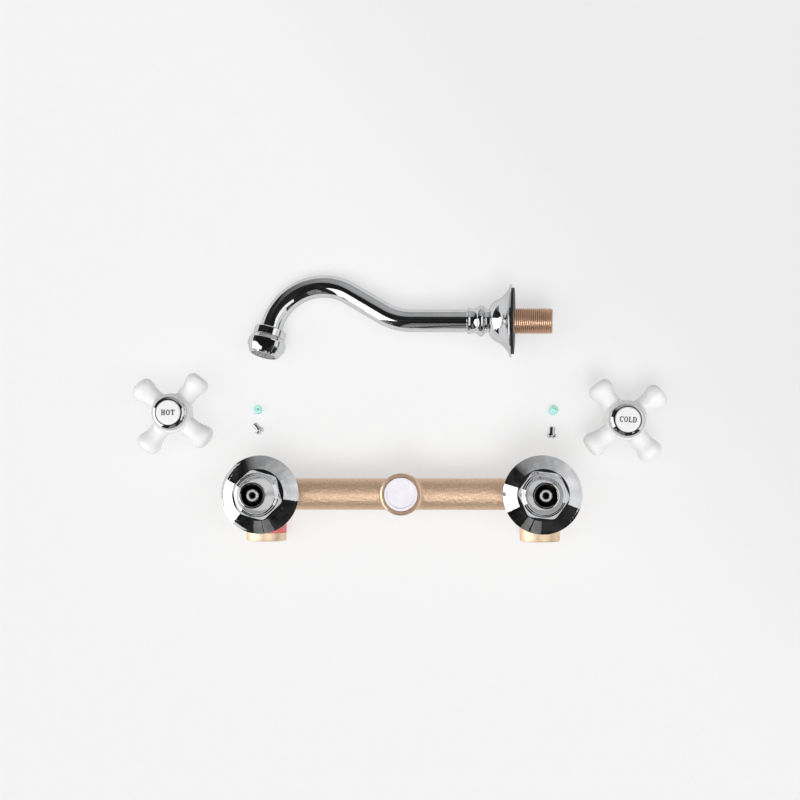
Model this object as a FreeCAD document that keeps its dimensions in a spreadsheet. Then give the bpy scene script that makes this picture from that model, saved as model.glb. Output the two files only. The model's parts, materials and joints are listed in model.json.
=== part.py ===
import FreeCAD, Part
import Sketcher
import math
import os
from types import SimpleNamespace

from FreeCAD import Placement, Rotation, Vector

# Wall mixer tap, taken apart and laid out on a table the way it comes out of its box.
# Millimetres. +X runs along the mixer's bar to the cold side, +Y away from its inlets, +Z up.
# The origin is on the table, in the middle of the whole layout.

SIZES = {
    # Cast mixer body
    "valve_centres": 180.0,
    "bar_dia": 20.6,
    "bar_bore": 12.0,
    "bar_height": 22.0,
    "boss_dia": 32.0,
    "boss_height": 34.0,
    "seat_height": 15.5,
    "seat_bore": 11.0,
    "seat_floor": 5.0,
    "chamber_dia": 23.0,
    "valve_thread_dia": 20.955,
    "valve_thread_length": 9.0,
    "inlet_dia": 26.0,
    "inlet_reach": 30.8,
    "inlet_height": 15.0,
    "inlet_bore": 18.63,
    "inlet_depth": 14.0,
    "passage_dia": 7.0,
    "passage_height": 9.5,
    "neck_dia": 27.0,
    "neck_height": 36.0,
    "neck_foot": 9.0,
    "outlet_bore": 14.95,
    "plug_seat_dia": 21.8,
    "plug_seat_depth": 5.0,
    "edge_break": 1.0,
    "mark_thickness": 0.15,
    "mark_width": 9.0,
    "mark_from_mouth": 5.2,
    "mark_start": -80.0,
    "mark_sweep": 152.0,
    # Transport plug in the outlet
    "plug_play": 0.2,
    "plug_stem_lift": 1.0,
    "plug_wall": 1.6,
    "plug_dish": 0.6,
    # Headwork, spindle and ceramic discs
    "running_play": 0.05,
    "thread_play": 0.05,
    "gasket_thickness": 1.0,
    "gasket_dia": 27.0,
    "headwork_hex": 24.0,
    "headwork_hex_height": 4.0,
    "stem_dia": 17.5,
    "stem_height": 11.0,
    "nose_dia": 18.0,
    "nose_lift": 0.6,
    "disc_dia": 14.4,
    "disc_thickness": 3.2,
    "disc_room": 0.3,
    "port_inner": 2.6,
    "port_outer": 5.8,
    "port_half_angle": 36.0,
    "notch_depth": 1.6,
    "tongue_width": 4.0,
    "tongue_length": 11.0,
    "tongue_depth": 1.2,
    "tongue_play": 0.1,
    "seal_height": 3.0,
    "seal_bore": 9.0,
    "window_width": 8.0,
    "window_height": 3.6,
    "spindle_dia": 10.0,
    "spindle_head_height": 3.0,
    "groove_depth": 1.3,
    "groove_width": 1.7,
    "groove_pitch": 4.5,
    "groove_from_top": 4.0,
    "ring_play": 0.02,
    "clip_thickness": 1.0,
    "clip_depth": 1.2,
    "clip_reach": 1.4,
    "clip_lift": 0.1,
    "clip_opening": 5.0,
    "spindle_shoulder": 3.0,
    "spline_dia": 8.2,
    "spindle_recess": 0.5,
    "screw_dia": 4.0,
    "screw_tap_dia": 3.3,
    "spindle_tap_depth": 10.0,
    "tip_chamfer": 0.8,
    # Chrome bonnet and wall flange of each valve
    "bonnet_skirt_dia": 30.0,
    "bonnet_collar_height": 3.0,
    "bonnet_collar_lift": 5.9,
    "bonnet_hex": 29.0,
    "bonnet_corner_play": 0.1,
    "bonnet_hex_height": 5.0,
    "bonnet_taper": 22.0,
    "bonnet_taper_height": 14.5,
    "bonnet_ring_dia": 16.4,
    "bonnet_ring_height": 2.4,
    "bonnet_bore": 14.0,
    "flange_dia": 50.0,
    "flange_height": 7.4,
    "flange_hole": 32.0,
    "flange_lip": 0.4,
    "flange_sheet": 1.2,
    "flange_edge": 1.1,
    "flange_edge_step": 0.7,
    "flange_bow": 60.0,
    # Spout tube, collar and tail
    "tube_dia": 15.0,
    "tube_wall": 1.0,
    "tube_bend": 37.0,
    "hump_bend": 34.5,
    "tube_rise": 30.5,
    "tube_slope_length": 28.2,
    "tube_straight": 47.5,
    "tube_tilt": 11.5,
    "tube_end_length": 8.1,
    "collar_foot": 16.0,
    "collar_length": 14.6,
    "collar_waist_step": 0.1,
    "collar_bead_step": 2.85,
    "collar_bead_at": 5.6,
    "collar_bead_width": 2.8,
    "collar_neck_step": 0.8,
    "collar_lip_step": 1.2,
    "collar_lip_width": 1.4,
    "collar_sleeve": 10.5,
    "tail_thread_dia": 16.66,
    "tail_shank_dia": 16.2,
    "tail_length": 24.9,
    "tail_bore": 11.0,
    "tail_stub_dia": 12.0,
    "tail_stub_bore": 9.0,
    "tail_stub_length": 3.6,
    "spout_flange_dia": 48.0,
    "spout_flange_play": 0.12,
    "spout_flange_nose_dia": 19.0,
    "spout_flange_bulge_dia": 29.4,
    "spout_flange_bulge_at": 6.6,
    "spout_flange_dome": 12.0,
    "spout_flange_flare": 18.0,
    "spout_flange_rim": 1.2,
    "spout_flange_sheet": 1.2,
    "wall_gasket_dia": 43.5,
    "wall_gasket_thickness": 1.6,
    # Nozzle and aerator
    "nozzle_ring_dia": 21.6,
    "nozzle_ring_length": 6.0,
    "nozzle_sleeve": 5.0,
    "nozzle_spigot_dia": 19.6,
    "nozzle_spigot_length": 5.0,
    "aerator_gap": 0.4,
    "aerator_dia": 25.2,
    "aerator_shoulder_dia": 22.4,
    "aerator_shoulder_length": 2.0,
    "aerator_band_length": 5.0,
    "aerator_mouth_dia": 20.6,
    "aerator_length": 12.0,
    "aerator_lip_bore": 16.4,
    "aerator_lip_thickness": 1.2,
    "aerator_flat_width": 22.0,
    "aerator_flat_length": 4.0,
    "washer_thickness": 1.6,
    "washer_bore": 13.6,
    "insert_wall": 1.3,
    "insert_floor": 1.6,
    "insert_slot_width": 1.4,
    "insert_slot_length": 3.6,
    "insert_slot_from_axis": 2.2,
    "insert_slots": 8.0,
    # Porcelain cross handle with its bush and index
    "handle_bush_dia": 13.0,
    "handle_bush_drop": 8.0,
    "handle_bush_height": 25.0,
    "broach_play": 0.1,
    "broach_depth": 9.5,
    "bush_web": 2.5,
    "bush_screw_hole": 4.4,
    "bush_socket_dia": 9.4,
    "bush_fit": 0.05,
    "hub_skirt_dia": 20.0,
    "hub_waist_dia": 19.0,
    "hub_dia": 25.6,
    "hub_height": 20.0,
    "hub_skirt_height": 2.5,
    "hub_belly_low": 7.0,
    "hub_belly_high": 16.0,
    "hub_top_dia": 25.0,
    "arm_height": 12.0,
    "arm_neck_dia": 9.8,
    "arm_neck_at": 13.4,
    "arm_waist_bow": 22.0,
    "arm_tip_round": 4.8,
    "arm_tip_flat": 5.4,
    "arm_root_run": 3.2,
    "arm_root_bow": 4.0,
    "arm_count": 4.0,
    "bezel_dia": 23.4,
    "bezel_foot": 1.0,
    "bezel_height": 5.0,
    "bezel_top_dia": 17.6,
    "bezel_round": 4.2,
    "bezel_stem_dia": 9.2,
    "bezel_stem_length": 5.0,
    "index_dia": 16.4,
    "index_thickness": 2.4,
    "index_proud": 0.5,
    "index_play": 0.1,
    # Fixing screw and plastic plug
    "screw_length": 5.4,
    "screw_head_dia": 6.4,
    "screw_head_height": 2.2,
    "screw_slot_width": 1.1,
    "screw_slot_depth": 1.2,
    "fixing_plug_dia": 5.6,
    "fixing_plug_length": 6.4,
    "fixing_plug_bore": 1.6,
    "fixing_plug_depth": 3.0,
    # How far each valve is turned, and where the loose pieces lie from the outlet's axis
    "hot_valve_turn": 44.0,
    "cold_valve_turn": 54.0,
    "hot_handle_x": -152.5,
    "hot_handle_y": 53.3,
    "hot_handle_turn": 51.8,
    "cold_handle_x": 145.6,
    "cold_handle_y": 48.0,
    "cold_handle_turn": 37.7,
    "hot_plug_x": -98.4,
    "hot_plug_y": 56.2,
    "hot_plug_turn": 60.0,
    "hot_plug_lean": 12.0,
    "cold_plug_x": 100.4,
    "cold_plug_y": 55.1,
    "cold_plug_turn": 45.0,
    "cold_plug_lean": 50.0,
    "hot_screw_x": -98.7,
    "hot_screw_y": 44.0,
    "hot_screw_turn": 310.0,
    "cold_screw_x": 99.6,
    "cold_screw_y": 40.7,
    "cold_screw_turn": 265.0,
    "spout_x": 73.8,
    "spout_y": 113.1,
    "spout_turn": -1.2,
}

HALF_TURN = 180.0
QUARTER_TURN = 90.0
FULL_TURN = 360.0
SETTLING_STEPS = 8
FIRST_LEAN = 10.0
HEX_CORNER_RATIO = math.sqrt(3.0)

doc = FreeCAD.newDocument("wall_mixer_tap")
sheet = doc.addObject("Spreadsheet::Sheet", "Sizes")
for row, (name, number) in enumerate(SIZES.items(), start=1):
    sheet.set(f"A{row}", name)
    sheet.set(f"B{row}", str(number))
    sheet.setAlias(f"B{row}", name)
doc.recompute()


class Size:
    """A number together with the sheet expression that gives it."""

    def __init__(self, value, text):
        self.value = value
        self.text = text

    def __add__(self, other):
        other = as_size(other)
        return Size(self.value + other.value, f"({self.text} + {other.text})")

    def __sub__(self, other):
        other = as_size(other)
        return Size(self.value - other.value, f"({self.text} - {other.text})")

    def __mul__(self, other):
        other = as_size(other)
        return Size(self.value * other.value, f"({self.text} * {other.text})")

    def __truediv__(self, other):
        other = as_size(other)
        return Size(self.value / other.value, f"({self.text} / {other.text})")

    def __neg__(self):
        return as_size(0.0) - self

    def __rmul__(self, other):
        return as_size(other) * self

    def __rsub__(self, other):
        return as_size(other) - self


def as_size(number):
    if isinstance(number, Size):
        return number
    return Size(float(number), repr(float(number)))


def root(size):
    return Size(math.sqrt(size.value), f"sqrt({size.text})")


def sine(size):
    return Size(math.sin(math.radians(size.value)), f"sin({size.text})")


def cosine(size):
    return Size(math.cos(math.radians(size.value)), f"cos({size.text})")


def tangent(size):
    return sine(size) / cosine(size)


z = SimpleNamespace(**{name: Size(sheet.get(name), f"Sizes.{name}") for name in SIZES})


# Drawing helpers

def new_body(label):
    body = doc.addObject("PartDesign::Body", label)
    body.Label = label
    return body


def new_sketch(body, plane, height=None):
    """Empty sketch on one of the body's own planes, lifted off it by height."""
    sketch = body.newObject("Sketcher::SketchObject", f"{body.Name}_sketch")
    support = [feature for feature in body.Origin.OriginFeatures if feature.Role == plane][0]
    sketch.AttachmentSupport = [(support, "")]
    sketch.MapMode = "FlatFace"
    if height is not None:
        sketch.setExpression("AttachmentOffset.Base.z", as_size(height).text)
    return sketch


def pin(sketch, edge, end, x, y):
    """Hold one end of an edge at (x, y)."""
    for kind, axis, distance in (("DistanceX", -2, as_size(x)), ("DistanceY", -1, as_size(y))):
        if distance.text == repr(0.0):
            sketch.addConstraint(Sketcher.Constraint("PointOnObject", edge, end, axis))
            continue
        rule = Sketcher.Constraint(kind, -1, 1, edge, end, distance.value)
        bind(sketch, sketch.addConstraint(rule), distance)


def bind(sketch, index, size):
    sketch.setExpression(f"Constraints[{index}]", as_size(size).text)


def arc_between(start, end, radius):
    """Arc from start to end; its centre is on the left of the way for a positive radius."""
    half = (end - start) * 0.5
    rise = math.sqrt(max(radius ** 2 - half.Length ** 2, 0.0))
    left = Vector(-half.y, half.x, 0.0).normalize()
    centre = start + half + left * math.copysign(rise, radius)
    first, last = (start, end) if radius > 0 else (end, start)
    angles = [math.atan2(point.y - centre.y, point.x - centre.x) for point in (first, last)]
    circle = Part.Circle(centre, Vector(0, 0, 1), abs(radius))
    return Part.ArcOfCircle(circle, *angles)


def outline(sketch, corners):
    """Closed outline through corners (x, y) or (x, y, radius of the arc to the next corner)."""
    points = [Vector(as_size(corner[0]).value, as_size(corner[1]).value, 0) for corner in corners]
    edges = []
    for index, corner in enumerate(corners):
        start = points[index]
        end = points[(index + 1) % len(points)]
        if len(corner) == 2:
            edges.append((sketch.addGeometry(Part.LineSegment(start, end)), 1, 2))
            continue
        radius = as_size(corner[2])
        edge = sketch.addGeometry(arc_between(start, end, radius.value))
        edges.append((edge, 1, 2) if radius.value > 0 else (edge, 2, 1))
    for index, (edge, first, last) in enumerate(edges):
        follower, follower_first, _ = edges[(index + 1) % len(edges)]
        sketch.addConstraint(Sketcher.Constraint("Coincident", edge, last, follower, follower_first))
        pin(sketch, edge, first, *corners[index][:2])
        if len(corners[index]) == 3:
            radius = as_size(corners[index][2])
            size = radius if radius.value > 0 else -radius
            rule = Sketcher.Constraint("Radius", edge, size.value)
            bind(sketch, sketch.addConstraint(rule), size)


def circle(sketch, dia):
    """Circle of a given diameter round the sketch's origin."""
    size = as_size(dia)
    edge = sketch.addGeometry(Part.Circle(Vector(0, 0, 0), Vector(0, 0, 1), size.value / 2))
    sketch.addConstraint(Sketcher.Constraint("Coincident", edge, 3, -1, 1))
    bind(sketch, sketch.addConstraint(Sketcher.Constraint("Diameter", edge, size.value)), size)


def hexagon(sketch, across_flats):
    """Regular hexagon round the origin, with two corners on the sketch's X axis."""
    corner = across_flats / HEX_CORNER_RATIO
    half = corner / 2
    flat = across_flats / 2
    outline(sketch, [(corner, 0.0), (half, flat), (-half, flat),
                     (-corner, 0.0), (-half, -flat), (half, -flat)])


def rectangle(sketch, x_low, y_low, x_high, y_high):
    outline(sketch, [(x_low, y_low), (x_high, y_low), (x_high, y_high), (x_low, y_high)])


def turn(body, corners, kind="PartDesign::Revolution"):
    """Turn an outline of (radius, height) corners about the body's Z axis."""
    sketch = new_sketch(body, "XZ_Plane")
    outline(sketch, corners)
    feature = body.newObject(kind, f"{body.Name}_turn")
    feature.Profile = sketch
    feature.ReferenceAxis = (sketch, ["V_Axis"])
    feature.Angle = FULL_TURN
    return feature


def turned(label, corners):
    body = new_body(label)
    turn(body, corners)
    return body


def pad(body, sketch, length, taper=None):
    feature = body.newObject("PartDesign::Pad", f"{body.Name}_pad")
    feature.Profile = sketch
    feature.setExpression("Length", as_size(length).text)
    if taper is not None:
        feature.setExpression("TaperAngle", (-taper).text)
    return feature


def lessened(cut):
    """Recompute and make sure that a cut did take material away."""
    before = cut.BaseFeature.Shape.Volume
    doc.recompute()
    if not cut.Shape.Volume < before:
        raise ValueError(f"{cut.Name} cuts nothing")
    return cut


def pocket_up(body, sketch, depth):
    """Pocket from the sketch's plane along its normal."""
    doc.recompute()
    cut = body.newObject("PartDesign::Pocket", f"{body.Name}_pocket")
    cut.Profile = sketch
    cut.setExpression("Length", as_size(depth).text)
    cut.Reversed = True
    return lessened(cut)


def pocket_through(body, sketch):
    """Pocket right through, both ways from the sketch's plane."""
    doc.recompute()
    cut = body.newObject("PartDesign::Pocket", f"{body.Name}_pocket")
    cut.Profile = sketch
    cut.Type = "ThroughAll"
    cut.Midplane = True
    return lessened(cut)


def groove(body, corners):
    doc.recompute()
    return lessened(turn(body, corners, "PartDesign::Groove"))


def polar(body, feature, count):
    """Repeat one feature evenly round the body's Z axis."""
    pattern = body.newObject("PartDesign::PolarPattern", f"{body.Name}_polar")
    pattern.Originals = [feature]
    axis = [item for item in body.Origin.OriginFeatures if item.Role == "Z_Axis"][0]
    pattern.Axis = (axis, [""])
    pattern.Angle = FULL_TURN
    pattern.setExpression("Occurrences", count.text)
    body.Tip = pattern
    return pattern


def rod(name, dia, length, base, direction):
    """Plain round bar from base along direction."""
    bar = doc.addObject("Part::Cylinder", name)
    bar.setExpression("Radius", (dia / 2).text)
    bar.setExpression("Height", as_size(length).text)
    bar.Placement.Rotation = Rotation(Vector(0, 0, 1), Vector(*direction))
    for axis, coordinate in zip("xyz", base):
        bar.setExpression(f"Placement.Base.{axis}", as_size(coordinate).text)
    return bar


def fused(name, pieces):
    joined = doc.addObject("Part::MultiFuse", name)
    joined.Shapes = pieces
    return joined


ALONG_X = (1, 0, 0)
AGAINST_Y = (0, -1, 0)
ALONG_Z = (0, 0, 1)
SIDES = {"hot": -0.5, "cold": 0.5}


# Heights of the valve stack above the table, from the seat up

seal_top = z.seat_height + z.seal_height
fixed_top = seal_top + z.disc_thickness
turning_top = fixed_top + z.disc_thickness
head_top = turning_top + z.spindle_head_height
hex_foot = z.boss_height + z.gasket_thickness
hex_top = hex_foot + z.headwork_hex_height
stem_top = hex_top + z.stem_height
clip_foot = stem_top + z.clip_lift
clip_top = clip_foot + z.clip_thickness
shoulder_top = clip_top + z.spindle_shoulder
collar_foot = hex_top + z.bonnet_collar_lift
collar_top = collar_foot + z.bonnet_collar_height
bonnet_hex_top = collar_top + z.bonnet_hex_height
bonnet_taper_top = bonnet_hex_top + z.bonnet_taper_height
bonnet_top = bonnet_taper_top + z.bonnet_ring_height
spindle_top = bonnet_top - z.spindle_recess
flange_foot = collar_top + z.flange_sheet - z.flange_height
thread_foot = z.boss_height - z.valve_thread_length


# Mixer body

def mixer_body():
    """Cast bar with two valve bosses, two inlets and the outlet neck, bored through."""
    half_bar = z.valve_centres / 2
    solid = [rod("bar", z.bar_dia, z.valve_centres, (-half_bar, 0.0, z.bar_height), ALONG_X),
             rod("neck", z.neck_dia, z.neck_height - z.neck_foot, (0.0, 0.0, z.neck_foot), ALONG_Z)]
    hollow = [rod("bar_bore", z.bar_bore, z.valve_centres, (-half_bar, 0.0, z.bar_height), ALONG_X),
              rod("outlet_bore", z.outlet_bore, z.neck_height - z.bar_height,
                  (0.0, 0.0, z.bar_height), ALONG_Z),
              rod("plug_seat", z.plug_seat_dia, z.plug_seat_depth,
                  (0.0, 0.0, z.neck_height - z.plug_seat_depth), ALONG_Z)]
    for side, share in SIDES.items():
        x = z.valve_centres * share
        chamber_height = thread_foot - z.seat_height
        solid += [rod(f"{side}_boss", z.boss_dia, z.boss_height, (x, 0.0, 0.0), ALONG_Z),
                  rod(f"{side}_inlet", z.inlet_dia, z.inlet_reach, (x, 0.0, z.inlet_height), AGAINST_Y)]
        hollow += [rod(f"{side}_seat_bore", z.seat_bore, z.seat_height - z.seat_floor,
                       (x, 0.0, z.seat_floor), ALONG_Z),
                   rod(f"{side}_chamber", z.chamber_dia, chamber_height, (x, 0.0, z.seat_height), ALONG_Z),
                   rod(f"{side}_valve_thread", z.valve_thread_dia + 2 * z.thread_play,
                       z.valve_thread_length, (x, 0.0, thread_foot), ALONG_Z),
                   rod(f"{side}_inlet_bore", z.inlet_bore, z.inlet_depth,
                       (x, z.inlet_depth - z.inlet_reach, z.inlet_height), AGAINST_Y),
                   rod(f"{side}_passage", z.passage_dia, z.inlet_reach - z.inlet_depth / 2,
                       (x, 0.0, z.passage_height), AGAINST_Y)]
    body = doc.addObject("Part::Cut", "mixer_body")
    body.Base = fused("casting", solid)
    body.Tool = fused("casting_cores", hollow)
    return body


def hot_mark():
    """Red strip stuck part of the way round the hot inlet."""
    body = new_body("hot_mark")
    sketch = new_sketch(body, "XY_Plane", z.mark_from_mouth)
    inner = z.inlet_dia / 2
    outer = inner + z.mark_thickness
    first = z.mark_start
    last = z.mark_start + z.mark_sweep
    outline(sketch, [(outer * cosine(first), outer * sine(first), outer),
                     (outer * cosine(last), outer * sine(last)),
                     (inner * cosine(last), inner * sine(last), -inner),
                     (inner * cosine(first), inner * sine(first))])
    pad(body, sketch, z.mark_width)
    return body


def outlet_plug():
    """Moulded transport plug: a dished head in the neck and a hollow stem below it."""
    head = z.plug_seat_dia / 2 - z.plug_play
    stem = z.outlet_bore / 2 - z.plug_play
    seat = z.neck_height - z.plug_seat_depth
    foot = z.bar_height + z.plug_stem_lift
    rim = head - z.plug_wall
    return turned("outlet_plug", [
        (0.0, seat), (stem - z.plug_wall, seat), (stem - z.plug_wall, foot), (stem, foot),
        (stem, seat), (head, seat), (head, z.neck_height), (rim, z.neck_height),
        (rim - z.plug_dish, z.neck_height - z.plug_dish), (0.0, z.neck_height - z.plug_dish)])


# Valve pieces, each round its own valve axis

def headwork(side):
    """Brass cartridge body: nose with side windows, thread, hexagon and stem."""
    body = new_body(f"{side}_headwork")
    nose = z.nose_dia / 2
    thread = z.valve_thread_dia / 2
    stem = z.stem_dia / 2
    foot = z.seat_height + z.nose_lift
    turn(body, [(0.0, foot), (nose, foot), (nose, thread_foot), (thread, thread_foot),
                (thread, hex_foot), (stem, hex_foot), (stem, stem_top), (0.0, stem_top)])
    sketch = new_sketch(body, "XY_Plane", hex_foot)
    hexagon(sketch, z.headwork_hex)
    pad(body, sketch, z.headwork_hex_height)
    room = z.disc_dia / 2 + z.disc_room
    bearing = z.spindle_dia / 2 + z.running_play
    groove(body, [(0.0, foot), (room, foot), (room, head_top + z.running_play),
                  (bearing, head_top + z.running_play), (bearing, stem_top), (0.0, stem_top)])
    windows = new_sketch(body, "XZ_Plane")
    half = z.window_width / 2
    rectangle(windows, -half, fixed_top, half, fixed_top + z.window_height)
    pocket_through(body, windows)
    return body


def headwork_gasket(side):
    bore = z.valve_thread_dia / 2 + z.running_play
    return turned(f"{side}_headwork_gasket", [
        (bore, z.boss_height), (z.gasket_dia / 2, z.boss_height),
        (z.gasket_dia / 2, hex_foot), (bore, hex_foot)])


def seat_seal(side):
    """Rubber ring that presses the fixed disc against the turning one."""
    rim = z.disc_dia / 2
    bore = z.seal_bore / 2
    return turned(f"{side}_seat_seal", [
        (bore, z.seat_height), (rim, z.seat_height), (rim, seal_top), (bore, seal_top)])


def ports(sketch, far, middle):
    """Two kidney-shaped openings opposite each other, about the direction middle."""
    for offset in (0.0, HALF_TURN):
        first = as_size(middle + offset) - z.port_half_angle
        last = as_size(middle + offset) + z.port_half_angle
        outline(sketch, [(far * cosine(first), far * sine(first), far),
                         (far * cosine(last), far * sine(last)),
                         (z.port_inner * cosine(last), z.port_inner * sine(last), -z.port_inner),
                         (z.port_inner * cosine(first), z.port_inner * sine(first))])


def fixed_disc(side):
    rim = z.disc_dia / 2
    body = turned(f"{side}_fixed_disc", [
        (0.0, seal_top), (rim, seal_top), (rim, fixed_top), (0.0, fixed_top)])
    sketch = new_sketch(body, "XY_Plane", seal_top)
    ports(sketch, z.port_outer, 0.0)
    pocket_up(body, sketch, z.disc_thickness)
    return body


def turning_disc(side):
    """Disc that shuts the ports at rest and bares them after a quarter turn."""
    rim = z.disc_dia / 2
    body = turned(f"{side}_turning_disc", [
        (0.0, fixed_top), (rim, fixed_top), (rim, turning_top), (0.0, turning_top)])
    notches = new_sketch(body, "XY_Plane", fixed_top)
    ports(notches, rim + z.disc_room, QUARTER_TURN)
    pocket_up(body, notches, z.notch_depth)
    slot = new_sketch(body, "XY_Plane", turning_top - z.tongue_depth - z.tongue_play)
    half_width = z.tongue_width / 2 + z.tongue_play
    half_length = z.tongue_length / 2 + z.tongue_play
    rectangle(slot, -half_length, -half_width, half_length, half_width)
    pocket_up(body, slot, z.tongue_depth + z.tongue_play)
    return body


def spindle(side):
    """Turned spindle: tongue, head, grooved shaft and the tapped tip that the handle fits."""
    body = new_body(f"{side}_spindle")
    head = z.disc_dia / 2
    shaft = z.spindle_dia / 2
    tip = z.spline_dia / 2
    floor = shaft - z.groove_depth
    clip_floor = shaft - z.clip_depth
    high = stem_top - z.groove_from_top
    low = high - z.groove_pitch
    rings = [corner for top in (low, high) for corner in (
        (shaft, top - z.groove_width), (floor, top - z.groove_width), (floor, top), (shaft, top))]
    tap = z.screw_tap_dia / 2
    tap_foot = spindle_top - z.spindle_tap_depth
    turn(body, [(0.0, turning_top), (head, turning_top), (head, head_top), (shaft, head_top)] + rings + [
        (shaft, clip_foot), (clip_floor, clip_foot), (clip_floor, clip_top), (shaft, clip_top),
        (shaft, shoulder_top), (tip, shoulder_top), (tip, spindle_top - z.tip_chamfer),
        (tip - z.tip_chamfer, spindle_top), (tap, spindle_top), (tap, tap_foot), (0.0, tap_foot)])
    sketch = new_sketch(body, "XY_Plane", turning_top - z.tongue_depth)
    half_width = z.tongue_width / 2
    half_length = z.tongue_length / 2
    rectangle(sketch, -half_length, -half_width, half_length, half_width)
    pad(body, sketch, z.tongue_depth)
    return body


def spindle_seals(side):
    """Two O-rings in the spindle's grooves."""
    shaft = z.spindle_dia / 2
    floor = shaft - z.groove_depth
    section = (z.groove_depth + z.running_play) / 2 - z.ring_play
    rings = []
    for index in range(2):
        ring = doc.addObject("Part::Torus", f"{side}_o_ring")
        ring.setExpression("Radius1", (floor + z.ring_play + section).text)
        ring.setExpression("Radius2", section.text)
        middle = stem_top - z.groove_from_top - z.groove_pitch * index - z.groove_width / 2
        ring.setExpression("Placement.Base.z", middle.text)
        rings.append(ring)
    pair = doc.addObject("Part::Compound", f"{side}_spindle_seals")
    pair.Links = rings
    return pair


def circlip(side):
    """Open ring in the spindle's top groove, resting on the headwork's stem."""
    inner = z.spindle_dia / 2 - z.clip_depth + z.running_play
    outer = z.spindle_dia / 2 + z.clip_reach
    foot = clip_foot + z.ring_play
    top = clip_top - z.ring_play
    body = turned(f"{side}_circlip", [(inner, foot), (outer, foot), (outer, top), (inner, top)])
    sketch = new_sketch(body, "XY_Plane", foot)
    half = z.clip_opening / 2
    rectangle(sketch, 0.0, -half, outer + z.clip_reach, half)
    pocket_up(body, sketch, z.clip_thickness)
    return body


def bonnet(side):
    """Chrome cap over the headwork: skirt, collar for the flange, hexagon drawn in to a ring."""
    body = new_body(f"{side}_bonnet")
    skirt = z.bonnet_skirt_dia / 2
    collar = z.flange_hole / 2 + z.flange_lip - z.running_play
    ring = z.bonnet_ring_dia / 2
    turn(body, [(0.0, hex_top), (skirt, hex_top), (skirt, collar_foot), (collar, collar_foot),
                (collar, collar_top), (ring, collar_top), (ring, bonnet_top - z.edge_break / 2),
                (ring - z.edge_break / 2, bonnet_top), (0.0, bonnet_top)])
    straight = new_sketch(body, "XY_Plane", collar_top)
    hexagon(straight, z.bonnet_hex)
    pad(body, straight, z.bonnet_hex_height)
    drawn_in = new_sketch(body, "XY_Plane", bonnet_hex_top)
    hexagon(drawn_in, z.bonnet_hex)
    pad(body, drawn_in, z.bonnet_taper_height, z.bonnet_taper)
    corner = z.flange_hole / 2 - z.bonnet_corner_play
    groove(body, [(corner, collar_top), (z.bonnet_hex, collar_top), (z.bonnet_hex, bonnet_taper_top),
                  (corner, bonnet_taper_top)])
    thread = z.stem_dia / 2 + z.thread_play
    bore = z.bonnet_bore / 2
    step = stem_top + z.running_play
    groove(body, [(0.0, hex_top), (thread, hex_top), (thread, step), (bore, step),
                  (bore, bonnet_top), (0.0, bonnet_top)])
    return body


def wall_flange(side):
    """Spun bell that covers the hole in the wall; its lip sits on the bonnet's collar."""
    hole = z.flange_hole / 2
    lip = hole + z.flange_lip
    rim = z.flange_dia / 2
    edge = rim - z.flange_edge_step
    top = flange_foot + z.flange_height
    under = top - z.flange_sheet
    return turned(f"{side}_wall_flange", [
        (hole, under), (lip, under, -z.flange_bow), (edge - z.flange_sheet, flange_foot),
        (rim, flange_foot), (rim, flange_foot + z.flange_edge / 2, z.flange_edge_step),
        (edge, flange_foot + z.flange_edge, z.flange_bow), (lip, top), (hole, top)])


# Spout pieces. The spout's own X axis runs from the wall to the nozzle, its Y axis towards the hump.

tube_start = z.collar_foot + z.collar_length - z.collar_sleeve
first_bend_at = z.collar_foot + z.collar_length + z.tube_straight - z.tube_bend * tangent(z.tube_rise / 2)


def tube_path():
    """Points of the tube's centre line in the spout's plane, with the way it points at its end."""
    rise = math.radians(z.tube_rise.value)
    fall = math.radians(QUARTER_TURN - z.tube_tilt.value)
    bend = z.tube_bend.value
    hump = z.hump_bend.value
    start = Vector(tube_start.value, 0, 0)
    first = Vector(first_bend_at.value, 0, 0)
    second = first + Vector(math.sin(rise), 1 - math.cos(rise), 0) * bend
    slope = Vector(math.cos(rise), math.sin(rise), 0)
    third = second + slope * z.tube_slope_length.value
    centre = third + Vector(slope.y, -slope.x, 0) * hump
    fourth = centre + Vector(math.sin(fall), math.cos(fall), 0) * hump
    heading = Vector(math.cos(fall), -math.sin(fall), 0)
    fifth = fourth + heading * z.tube_end_length.value
    return SimpleNamespace(points=[start, first, second, third, fourth, fifth], heading=heading,
                           low_centre=first + Vector(0, bend, 0), high_centre=centre)


path = tube_path()


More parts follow.
